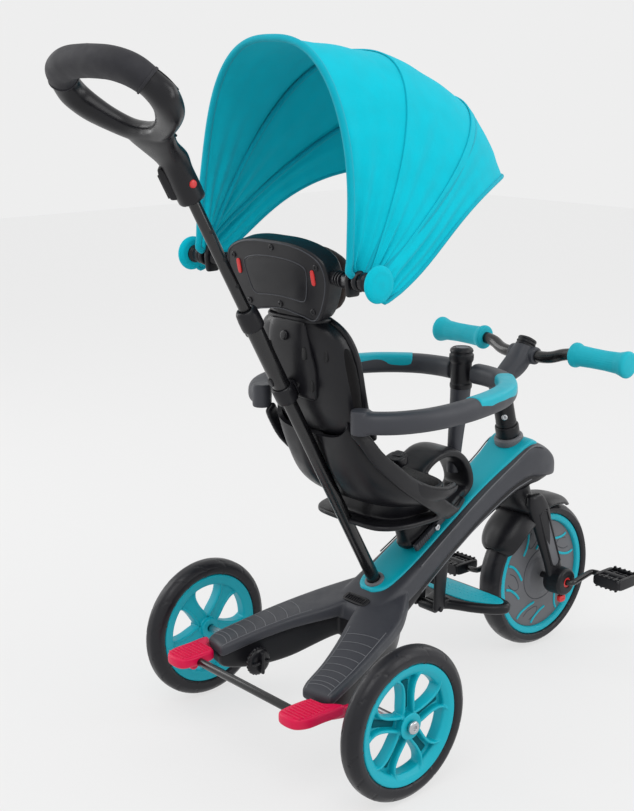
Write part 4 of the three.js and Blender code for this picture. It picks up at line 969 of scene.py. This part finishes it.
buckle = merge(block((0, 189, 368), X * 15.5, Vector((0, 11, 3)), Vector((0, -1.6, 6.5)), 4, 2.2),
               block((0, 193, 375), X * 10, Vector((0, 7, 2)), Vector((0, -0.5, 2.4)), 4, 1.2),
               loft([((0, 176, 366), X * 11, Vector((0, 0.6, 1.6)), 4),
                     ((0, 166, 362), X * 11, Vector((0, 0.6, 1.6)), 4),
                     ((0, 158, 357), X * 11, Vector((0, 0.6, 1.6)), 4)], 24, 3, (1, 1)))
piece("buckle_body", buckle, BLACK_GLOSS, "base", ["harness_buckle"])

# ---------- push bar and handle ----------
LOWER_RADIUS, UPPER_RADIUS, SLEEVE_RADIUS = 9.5, 7.6, 11.5
lower = rod(on_bar(-55), on_bar(350), LOWER_RADIUS, 40, 1)
upper = rod(on_bar(345), on_bar(672), UPPER_RADIUS, 40, 1)
outer_tube = lathe(sleeve(8.2, SLEEVE_RADIUS, 339, 482), BAR_BASE, BAR_DIR, 56, 1)
piece("push_bar_lower_tube", lower, TUBE, "base", ["push_bar_lower"])
piece("push_bar_upper_tube", upper, TUBE, "handle", ["push_bar_upper"])
piece("push_bar_sleeve_tube", outer_tube, TUBE, "base", ["push_bar_sleeve"])
low_collar = lathe([(11.5, 338), (14.6, 338), (15.2, 342), (15.2, 357), (14.4, 361), (11.5, 362),
                    (11.5, 338)], BAR_BASE, BAR_DIR, 56, 1.5)
high_collar = lathe([(8.0, 455), (14.4, 455), (15, 459), (15, 470), (14.2, 480), (11.8, 484), (8.0, 484),
                     (8.0, 455)], BAR_BASE, BAR_DIR, 56, 1.5)
BAR_FRONT = BAR_DIR.cross(X)
horn = loft([(on_bar(350) + BAR_FRONT * 11.8, X * 12, BAR_DIR * 12, 4),
             (on_bar(350) + BAR_FRONT * 17, X * 11, BAR_DIR * 10, 4)], 36, 4, (0.6, 2))
tab_left = block(on_bar(448) - X * 15, X * 4.5, BAR_DIR * 8, BAR_FRONT * 5, 4, 1.6)
tab_pin = block(on_bar(376) - X * 1 + Vector((0, -10, -6)) * 0.95, X * 4, BAR_DIR * 6, BAR_FRONT * 2.4,
                3, 0.8)
piece("push_bar_collars", merge(low_collar, high_collar, horn, tab_left, tab_pin), BLACK, "base")
# Painted shade: dark discs on the upper tube standing in for the shade inside its adjustment holes.
hole_shades = []
for d in (520, 560, 600):
    hole_shades.append(rod(on_bar(d) + X * 7.0, on_bar(d) + X * 7.75, 2.6, 20, 0.1))
piece("push_bar_hole_shades", merge(*hole_shades), RECESS_SHADE, "handle")

LOOP = on_bar(692)
LOOP_TILT = math.radians(46)
LOOP_UP = Vector((0, -math.cos(LOOP_TILT), math.sin(LOOP_TILT)))
LOOP_OUT = Vector((0, math.sin(LOOP_TILT), math.cos(LOOP_TILT)))


def on_loop(x, s):
    return LOOP + X * x + LOOP_UP * s


def strand(rows):
    """Loft stations of the handle's loop from rows of place, heading, half width and half thickness."""
    out = []
    for x, s, tx, ts, wide, thick in rows:
        out.append((on_loop(x, s), X * (ts * wide) - LOOP_UP * (tx * wide), LOOP_OUT * thick, 2.3))
    return out


FRONT = [(-10, 54, 1, 0, 12, 12), (26, 58, 0.97, 0.25, 12, 12), (56, 73, 0.8, 0.6, 14, 13),
         (78, 91, 0.5, 0.87, 17, 15), (89, 110, 0, 1, 18, 16), (88, 126, -0.2, 0.98, 17, 15.5),
         (82, 138, -0.5, 0.86, 16.4, 15.2)]
REAR = [(84, 135.6, -0.46, 0.88, 17.2, 16.0), (75, 148, -0.72, 0.69, 18.2, 17),
        (60, 157, -0.86, 0.5, 18.6, 17.4), (36, 163, -0.97, 0.2, 18.4, 17.4), (-3, 165, -1, 0, 18.2, 17.4)]
neck = loft([(on_bar(644), X * 16.4, BAR_FRONT * 16.4, 2.2), (on_bar(664), X * 16.8, BAR_FRONT * 16.6, 2.2),
             (on_bar(684), X * 18, BAR_FRONT * 16, 2.2), (on_bar(702), X * 22, Vector((0, 13.5, 8.5)), 2.3),
             (on_loop(0, 32), X * 32, LOOP_OUT * 13, 2.4), (on_loop(0, 50), X * 42, LOOP_OUT * 13, 2.5),
             (on_loop(0, 62), X * 38, LOOP_OUT * 10, 2.5)], 64, 4, (2, 5))
wedge_out = (X * -0.85 - BAR_FRONT * 0.2 + Vector((0, -0.5, 0))).normalized()
wedge_side = BAR_DIR.cross(wedge_out).normalized()
wedge = [loft([(on_bar(650) + wedge_out * 17, wedge_out * 6.5, wedge_side * 9, 4),
               (on_bar(676) + wedge_out * 18, wedge_out * 7, wedge_side * 9, 4),
               (on_bar(692) + wedge_out * 18.5, wedge_out * 3.6, wedge_side * 8, 4)], 32, 3, (1.5, 2))]
wedge += [rod(on_bar(652) + wedge_out * 24 + wedge_side * k, on_bar(684) + wedge_out * 24 + wedge_side * k,
              1.3, 12, 0.8) for k in (-6, 0, 6)]
front_half = loft(strand(FRONT), 40, 4, (2, 1))
piece("handle_body", merge(both(front_half), neck), BLACK_GLOSS, "handle", ["handle_shell"],
      fused=1.6, soften=5)
piece("handle_wedge", merge(*wedge), BLACK, "handle")
rear_half = loft(strand(REAR), 44, 4, (1, 2))
piece("handle_grip_body", both(rear_half), SOFT, "handle", ["handle_grip"], fused=1.4, soften=3)
grip_edge = loft(strand([(84, 135.2, -0.46, 0.88, 18.2, 16.9), (82.6, 137.8, -0.5, 0.86, 18.4, 17.1)]), 44,
                 1.5, (0.7, 0.7))
piece("handle_grip_edge", both(grip_edge), SOFT, "handle")
# Painted shade: a dark bead along the handle's seam, standing in for the shade in its groove.
seam = []
for x, edge_s, tx, ts, wide, thick in FRONT:
    seam.append(on_loop(x, edge_s) + (X * (ts * wide) - LOOP_UP * (tx * wide)) * 0.62
                + LOOP_OUT * (thick * 0.86))
piece("handle_seam_shade", both(tube(seam[4:], 0.7, LOOP_OUT, 8, 4)), RECESS_SHADE, "handle")
# Painted shade: dark slots and discs standing in for the shade inside the handle's vents.
vent_shades = [block(on_loop(58, 72) + LOOP_OUT * 11.6 + X * 3, X * 4.4, LOOP_UP * 1.6, LOOP_OUT * 1.4, 3, 0.4, 20),
         block(on_loop(74, 86) + LOOP_OUT * 12.2 + X * 2, X * 3.2, LOOP_UP * 3.4, LOOP_OUT * 1.4, 3, 0.4, 20),
         rod(on_loop(26, 40) + LOOP_OUT * 11.0, on_loop(26, 40) + LOOP_OUT * 12.4, 3, 24, 0.3),
         rod(on_loop(-26, 40) + LOOP_OUT * 11.0, on_loop(-26, 40) + LOOP_OUT * 12.4, 3, 24, 0.3)]
piece("handle_vent_shades", merge(*vent_shades), RECESS_SHADE, "handle")
piece("handle_key_cap", rod(on_bar(668) + X * 11, on_bar(668) + X * 18.4, 5, 36, 1.2), RED_SMALL,
      "handle_key", ["bar_button"])

# ---------- guard ring and post ----------
RING = [(97, 24, 472), (116, 32, 472.5), (136, 54, 473), (150, 86, 473.5), (156, 126, 474), (155, 180, 475),
        (143, 240, 476), (119, 284, 476), (84, 315, 476), (48, 327, 476), (21, 328, 476)]
ring_body = tube(RING, 14.2, Z, 44, 5, 1.04, 2, 2.6)
barrel = lathe([(0, 456), (13, 456), (13.4, 459), (13.4, 485), (13, 488), (0, 488)], (98.5, 24, 0), Z, 48,
               1.5)
piece("guard_right_body", merge(ring_body, barrel), GREY, "guard_right", ["ring_right"],
      fused=1.3, soften=3)
piece("guard_left_body", mirrored(merge(ring_body, barrel)), GREY, "guard_left", ["ring_left"],
      fused=1.3, soften=3)
INLAY = [(155.5, 172, 479.6), (152.5, 200, 480), (144.5, 236, 480.4), (131, 268, 480.6), (113, 290, 480.6),
         (90, 311, 480.6)]
inlay_rows = []
for i, p in enumerate(INLAY):
    inlay_rows.append((p, run_at(INLAY, i).cross(Z).normalized() * 14.0, Z * 10.6, 3.0))
inlay = loft(inlay_rows, 44, 4, (2, 2))
piece("guard_pad_right_skin", inlay, TEAL, "guard_right", ["ring_pad_right"])
piece("guard_pad_left_skin", mirrored(inlay), TEAL, "guard_left", ["ring_pad_left"])
post = loft([((0, 309, 326), X * 9, Y * 10, 2.4), ((0, 309, 350), X * 9.5, Y * 10, 2.4),
             ((0, 313, 392), X * 11, Y * 12, 2.3), ((0, 318, 430), X * 13.5, Y * 14, 2.2),
             ((0, 320, 456), X * 15, Y * 15, 2.1)], 48, 4, (2, 2))
piece("guard_post_body", post, GREY, "base", ["ring_post"])
hub_profile = [(0, 452), (15.6, 452), (16.4, 455), (16.4, 459), (15.4, 461), (15.4, 490), (17.6, 494),
               (18, 497), (18, 503), (16.2, 504), (16.2, 506), (17.4, 507.5), (16.4, 511), (13, 513.5),
               (12.4, 512.4), (0, 512.4)]
POST = Vector((0, 320, 0))
piece("guard_hub", lathe(hub_profile, POST, Z, 96, 1.1), BLACK, "base")
piece("guard_hub_inlay",
      lathe([(0, 512), (9, 512), (9.6, 513), (8.4, 513.8), (7.4, 513), (0, 513)], POST, Z, 48, 0.4),
      GREY_LIGHT, "base")
piece("post_key", block((10.6, 309, 340.5), Y * 4.8, Z * 5.6, X * 2.6, 3, 1.2), RED_SMALL, "post_key",
      ["post_button"])

# ---------- headrest ----------
LEAN_UP = Vector((0, -math.sin(SEAT_LEAN), math.cos(SEAT_LEAN)))
HEAD_REAR = Vector((0, -math.cos(SEAT_LEAN), -math.sin(SEAT_LEAN)))
HEAD_C = Vector((0, seat_back(650) - 2, 650))
HEADREST = [(0, 51), (36, 50), (68, 44), (91, 32), (98, 14), (95, -4), (86, -24), (74, -42), (62, -50),
            (40, -46), (0, -41)]
head_outline = whole_outline(HEADREST, 160)
head_shell = plate(head_outline, HEAD_C, X, LEAN_UP, -26, 1.5, 4)
piece("headrest_body", head_shell, BLACK, "headrest", ["headrest_shell"])


def on_head(x, up, lift=0.0):
    return HEAD_C + X * x + LEAN_UP * up + HEAD_REAR * lift


def closed_line(outline, scale, lift, radius):
    """A bead along an outline on the headrest's rear face."""
    pts = [on_head(x * scale, 0.5 + (y - 0.5) * scale, lift) for x, y in outline]
    return tube(pts + pts[:2], radius, Vector((0, -1, 0.2)), 10, 3, 1, 0.2)


PANEL = [(0, 30), (34, 28), (56, 22), (60, 12), (54, -14), (46, -24), (24, -23), (0, -22)]
panel_outline = whole_outline(PANEL, 120)
piece("headrest_lines",
      merge(closed_line(head_outline, 0.955, 1.6, 0.8), closed_line(panel_outline, 1.0, 1.6, 0.8)), GREY,
      "headrest")
piece("headrest_panel",
      plate([(x * 0.975, y * 0.96) for x, y in panel_outline], HEAD_C, X, LEAN_UP, 0, 2.1, 0.8), BLACK,
      "headrest")
screws = []
for x, up in ((-80, 24), (80, 24), (-62, -36), (62, -36), (0, 42), (0, -33)):
    screws.append(lathe([(0, 0), (4.2, 0), (4.2, 1.2), (3.4, 1.9), (1.6, 1.9), (1.4, 0.8), (0, 0.8)],
                        on_head(x, up, 1.2), HEAD_REAR, 28,
                        0.4))
piece("headrest_screws", merge(*screws), BLACK_GLOSS, "headrest")
piece("headrest_red_slots",
      merge(*[block(on_head(x, 10, 1.6), X * 3.4, LEAN_UP * 10, Vector((0, -1.6, -0.3)), 3.4, 1, 28)
              for x in (-72, 72)]), RED_SMALL, "headrest")
guide = block(HEAD_C + LEAN_UP * -76.5 + Vector((0, 11, 2)), X * 25, Vector((0, 3.6, 0.7)), LEAN_UP * 36.5, 5,
              1.5)
piece("headrest_guide", guide, BLACK, "headrest")
mounts = []
PIVOT = Vector((0, -28, 664))
for side in (-1, 1):
    arm = loft([((side * 94, -20, 662), Y * 9, Z * 9, 3), ((side * 112, -23, 662), Y * 8, Z * 8, 2.6),
                ((side * 133, -28, 662), Y * 8.5, Z * 8.5, 2.4)], 36, 3, (2, 2))
    rings = [lathe(sleeve(7, 10, h, h + 2.6), (side * 104, -22, 662), Vector((side, -0.2, 0)), 40, 0.8)
             for h in (2, 8, 14)]
    tab = loft([((side * 137, -28, 644), X * 3.6, Y * 9, 4), ((side * 137, -28, 664), X * 3.6, Y * 12, 4),
                ((side * 137, -28, 681), X * 3.6, Y * 8, 4)], 32, 4, (2.5, 2.5))
    pin = rod(PIVOT + X * side * 136, PIVOT + X * side * 178, 4, 24, 1)
    mounts += [arm, *rings, tab, pin]
piece("canopy_mounts_body", merge(*mounts), BLACK, "headrest", ["canopy_mount_left", "canopy_mount_right"])

# ---------- canopy ----------
# The arch's reach from the pivots, by angle from upright.
REACH = np.array([(-6, 277.5), (-4, 278), (8, 280), (21, 288), (33, 306), (44, 324), (56, 342), (65, 350),
                  (80, 352), (90, 352)], float)
# The share of the arch left off at each pivot.
FOOT = 0.004


def arch_share(f):
    """f from 0 to 1 along the arch's length, closer together where it turns down to the pivots."""
    return FOOT + (1 - 2 * FOOT) * (f - math.sin(2 * math.pi * f) / (2 * math.pi) * 0.45)


def canopy_at(angle, t, lift):
    """A point of the canopy's arch at this angle from upright; t runs from one pivot side to the other."""
    wide = 144 + 0.5 * min(max(angle, 0), 60) + lift
    reach = float(np.interp(angle, REACH[:, 0], REACH[:, 1])) + lift
    c, s = math.cos(math.pi * t), math.sin(math.pi * t)
    r = reach * abs(s) ** (2 / 2.6)
    a = math.radians(angle)
    return Vector((wide * math.copysign(abs(c) ** (2 / 2.6), c), PIVOT.y + r * math.sin(a),
                   PIVOT.z + r * math.cos(a)))


CLOTH_THICK = 1.6


def cloth(name, point, nu, nv, size, body, stands):
    """A canopy sheet with its flat size in metres as UV; it rides on body and stands for a CAD node."""
    mesh = new_mesh(name, grid(point, nu, nv, CLOTH_THICK))
    uv = mesh.uv_layers.new(name="cloth")
    count = (nu + 1) * (nv + 1)
    for loop in mesh.loops:
        k = loop.vertex_index % count
        uv.data[loop.index].uv = (k // (nv + 1) / nu * size[0], k % (nv + 1) / nv * size[1])
    mesh.materials.append(CANOPY)
    obj = shown(name, mesh)
    finish_mesh(obj, 50)
    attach(obj, body)
    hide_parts(*stands)
    return obj


GORE_REACH = 300
FLARE = 23
FLARE_FADE = 95


def gore_point(start, end, lift_a, lift_b, brim=0.0, seed=0):
    """A gore between two angles of the arch: flared round the pivots, sagging and pleated between hoops."""
    def point(u, v):
        t = arch_share(v)
        radius = max(GORE_REACH * math.sin(math.pi * t) ** 0.77, FLARE)
        flare = math.degrees(math.asin(FLARE / radius)) * math.exp(-(((radius - FLARE) / FLARE_FADE) ** 2))
        flare *= 1 if brim else 0.55
        first = start - (flare if start < 0 else 0)
        stop = end + brim * math.sin(math.pi * t) ** 3 + (flare if brim else 0)
        angle = first + (stop - first) * u
        crown = math.sin(math.pi * t)
        middle = math.sin(math.pi * u)
        sag = -3.2 * middle * crown ** 0.5
        pleat = 1.8 * math.sin(u * math.pi * 6 + seed) * middle * math.exp(-(crown / 0.55) ** 2)
        wrinkle = 0.8 * math.sin(9 * math.pi * v + 2.2 * math.sin(5 * u + seed)) * middle ** 0.7
        lift = lift_a + (lift_b - lift_a) * u + sag + pleat + wrinkle
        return canopy_at(angle, t, lift)
    return point


GORES = [("canopy_rear_cloth", -2, 27, 1.5, 1.5, 0, "headrest", "canopy_rear", 0.0),
         ("canopy_middle_cloth", 26.4, 52, 3.5, 3.5, 0, "canopy_mid", "canopy_middle", 1.3),
         ("canopy_front_cloth", 51.4, 65, 5.5, 5.5, 9, "canopy_fore", "canopy_front", 2.1)]


def gore_size(start, end, brim):
    """Flat width and length of a gore in metres, and its area."""
    width = length = area = 0
    steps = 60
    for j in range(steps):
        t0, t1 = arch_share(j / steps), arch_share((j + 1) / steps)
        stop = end + brim * math.sin(math.pi * (t0 + t1) / 2) ** 3
        a, b = canopy_at(start, t0, 0), canopy_at(start, t1, 0)
        c, d = canopy_at(stop, t0, 0), canopy_at(stop, t1, 0)
        wide = (a - c).length
        width = max(width, wide)
        length += max((a - b).length, (c - d).length)
        area += ((a - b).length + (c - d).length) / 2 * (wide + (b - d).length) / 2
    return width / 1000, length / 1000, area / 1e6


HOOPS = [("canopy_rear_hoop", -2, 4.2, 4.6, "headrest", "canopy_hoop_rear"),
         ("canopy_middle_hoop", 28.5, -2.2, 3.6, "canopy_mid", "canopy_hoop_middle"),
         ("canopy_front_hoop", 54, 1.0, 3.6, "canopy_fore", "canopy_hoop_front")]
for name, angle, lift, radius, body, stands in HOOPS:
    path = [canopy_at(angle, arch_share(k / 90), lift) for k in range(91)]
    if stands == "canopy_hoop_rear":
        rear_edge = gore_point(-2, 27, 2.5, 2.5)
        path = [rear_edge(0.0, k / 90) for k in range(91)]
    piece(name, tube(path, radius, Vector((0.02, 1, 0.3)), 16, 5), BINDING, body, [stands])
for name, start, end, lift_a, lift_b, brim, body, stands, seed in GORES:
    w, l, area = gore_size(start, end, brim)
    coarse = 1
    gore = cloth(name, gore_point(start, end, lift_a, lift_b, brim, seed), 48 // coarse, 144 // coarse,
                 (w, l), body, [stands])
_, front_start, front_end, *front_lifts, front_brim, _, _, front_seed = GORES[-1]
visor = gore_point(front_start, front_end, *front_lifts, front_brim, front_seed)
edge = [visor(1.0, k / 90) for k in range(91)]
piece("canopy_front_binding", tube(edge, 2.8, Vector((0.02, 0.2, 1)), 14, 5), BINDING, "canopy_fore")
discs = []
for side in (-1, 1):
    discs.append(lathe([(4.4, 0), (12, 0), (13, 2), (13, 5), (11, 7), (4.4, 7), (4.4, 0)],
                       PIVOT + X * side * 146, X * side, 48, 1))
piece("canopy_pivot_discs", merge(*discs), BLACK, "headrest")
boot = lathe([(4.4, 176), (18, 176), (FLARE - 2, 178), (FLARE, 181), (FLARE - 1, 184), (17, 186.4), (0, 187)],
             PIVOT, X, 72, 2)
piece("canopy_boots", both(boot), CANOPY_PATCH, "canopy_fore")
hinge = lathe([(4.4, 154), (10, 154), (11.5, 156), (11.5, 162), (9.5, 163.5), (9.5, 170), (12, 171.5),
               (12, 175.6), (4.4, 175.6), (4.4, 154)], PIVOT, X, 56, 1)
piece("canopy_hinges", both(hinge), BLACK, "canopy_fore")

# ---------- cushions ----------
CUSHION_VOXEL = 0.0045
CUSHION_PRESSURE = 4.0
CUSHION_FRAMES = 20


def cushion(name, part, material, body, stands, held, cap):
    """A padded cover: the base shape is inflated as cloth, held where its seams are sewn."""
    obj = shown(name, new_mesh(name, part))
    skinned(obj, CUSHION_VOXEL, 0.5, 3)
    base = [v.co.copy() for v in obj.data.vertices]
    group = obj.vertex_groups.new(name="sewn")
    for k, co in enumerate(base):
        group.add([k], held(Vector((co.x * 1000, co.y * 1000 + Y_MID, co.z * 1000))), "REPLACE")
    cloth_mod = obj.modifiers.new("inflate", "CLOTH")
    settings = cloth_mod.settings
    settings.quality = 5
    settings.mass = 0.2
    settings.tension_stiffness = 12
    settings.compression_stiffness = 12
    settings.shear_stiffness = 6
    settings.bending_stiffness = 1.2
    settings.use_pressure = True
    settings.uniform_pressure_force = CUSHION_PRESSURE
    settings.vertex_group_mass = "sewn"
    settings.pin_stiffness = 1
    settings.effector_weights.gravity = 0
    cloth_mod.point_cache.frame_start = 1
    cloth_mod.point_cache.frame_end = CUSHION_FRAMES
    for number in range(1, CUSHION_FRAMES + 1):
        bpy.context.scene.frame_set(number)
    baked(obj)
    bpy.context.scene.frame_set(1)
    for vertex, start in zip(obj.data.vertices, base):
        move = vertex.co - start
        if move.length > cap / 1000:
            vertex.co = start + move.normalized() * cap / 1000
    obj.vertex_groups.clear()
    smooth = obj.modifiers.new("smooth", "SUBSURF")
    smooth.levels = smooth.render_levels = 1
    baked(obj)
    obj.data.materials.clear()
    obj.data.materials.append(material)
    obj.data.shade_smooth()
    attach(obj, body)
    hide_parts(*stands)


BACK_PAD = [(444, 72, 24, 22), (470, 80, 26, 20), (500, 86, 28, 17), (545, 86, 28, 15), (572, 76, 24, 15),
            (590, 56, 16, 16)]
pad_rows = []
for z, half, depth, ahead in BACK_PAD:
    pad_rows.append(((0, seat_back(z) + ahead + depth / 2, z), X * half, Y * depth / 2, 3))
SEAT_PAD = [(62, 74, 404, 34), (84, 80, 380, 34), (120, 84, 360, 28), (160, 84, 350, 24), (206, 78, 346, 18)]
seat_rows = [((0, y, middle), X * (half - 4), Z * (thick / 2 + 2), 3) for y, half, middle, thick in SEAT_PAD]
pad_join = loft([((0, 52, 446), X * 66, Y * 13, 3), ((0, 66, 416), X * 72, Y * 15, 3),
                 ((0, 84, 392), X * 74, Y * 14, 3)], 48, 5, (3, 3))


def seat_sewn(p):
    """1 along the seams: the outline, the wing seams and the cross channels."""
    front = p.y - (seat_back(p.z) + 22)
    if p.z > 430:
        seam = min(abs(abs(p.x) - 46), abs(p.z - 500) + abs(min(front, 0)), abs(p.z - 552))
        back = p.y < seat_back(p.z) + 24
        return 1.0 if back or seam < 3 else 0.0
    seam = min(abs(abs(p.x) - 44), abs(p.y - 130))
    return 1.0 if p.z < 346 or seam < 3 else 0.0


cushion("seat_cushion", merge(loft(pad_rows, 64, 5, (8, 8)), loft(seat_rows, 64, 5, (6, 8)), pad_join), LINER,
        "base", ["seat_pad"], seat_sewn, 6)
HEAD_PAD = [(608, 56, 14), (624, 74, 24), (662, 88, 28), (680, 87, 26), (695, 62, 16)]
head_rows = [((0, seat_back(z) + 26 + depth / 2, z), X * half, Y * depth / 2, 3)
             for z, half, depth in HEAD_PAD]


def head_sewn(p):
    seam = min(abs(abs(p.x) - 50), abs(p.z - 652) if abs(p.x) < 50 else 99)
    return 1.0 if p.y < seat_back(p.z) + 32 or seam < 3 else 0.0


cushion("headrest_cushion", loft(head_rows, 64, 5, (7, 7)), HEAD_CLOTH, "headrest", ["headrest_pad"],
        head_sewn, 8)

# ---------- floor, light and camera ----------
FLOOR_HALF = 6000
FLOOR_DROP = 0.5


def floor_point(u, v):
    return Vector(((2 * u - 1) * FLOOR_HALF, (2 * v - 1) * FLOOR_HALF + Y_MID, -FLOOR_DROP))


floor_paint, floor_tree, floor_bsdf = shader("floor_paint", (0.17, 0.17, 0.17), 0.9, specular=0.02)
floor_bsdf.inputs["Emission Color"].default_value = (1, 1, 1, 1)
floor_bsdf.inputs["Emission Strength"].default_value = 0.67
floor_mesh = new_mesh("floor", grid(floor_point, 4, 4))
floor_mesh.materials.append(floor_paint)
relief(floor_tree, floor_bsdf, [(noise(floor_tree, 300, 2), 0.0001, 0.1)])
shown("floor", floor_mesh)


def aimed(obj, place, aim):
    obj.location = place
    obj.rotation_euler = (Vector(aim) - Vector(place)).to_track_quat("-Z", "Y").to_euler()
    return obj


def lamp(name, place, aim, size, power):
    data = bpy.data.lights.new(name, "AREA")
    data.shape = "RECTANGLE"
    data.size, data.size_y = size
    data.energy = power
    aimed(shown(name, data), place, aim)


lamp("key", (0.9, -1.2, 2.6), (0, 0, 0.4), (1.8, 1.8), 26)
lamp("left_strip", (-2.2, -0.9, 1.2), (0, 0, 0.5), (0.8, 2.0), 16)
lamp("right_strip", (2.1, 1.2, 1.4), (0, 0, 0.4), (0.9, 1.8), 16)
lamp("front_fill", (0.4, 2.4, 1.6), (0, 0.1, 0.3), (1.6, 1.2), 8)
world = bpy.data.worlds.new("studio")
world.use_nodes = True
world.node_tree.nodes["Background"].inputs["Color"].default_value = (0.92, 0.92, 0.92, 1)
world.node_tree.nodes["Background"].inputs["Strength"].default_value = 0.93
bpy.context.scene.world = world
bpy.context.scene.view_settings.view_transform = "Standard"
camera_data = bpy.data.cameras.new("camera")
camera_data.lens = 60.83
camera_data.sensor_width = 36
bpy.context.scene.camera = aimed(shown("camera", camera_data), (1.3161, -1.2945, 0.9208),
                                 (0, -0.1175, 0.4731))
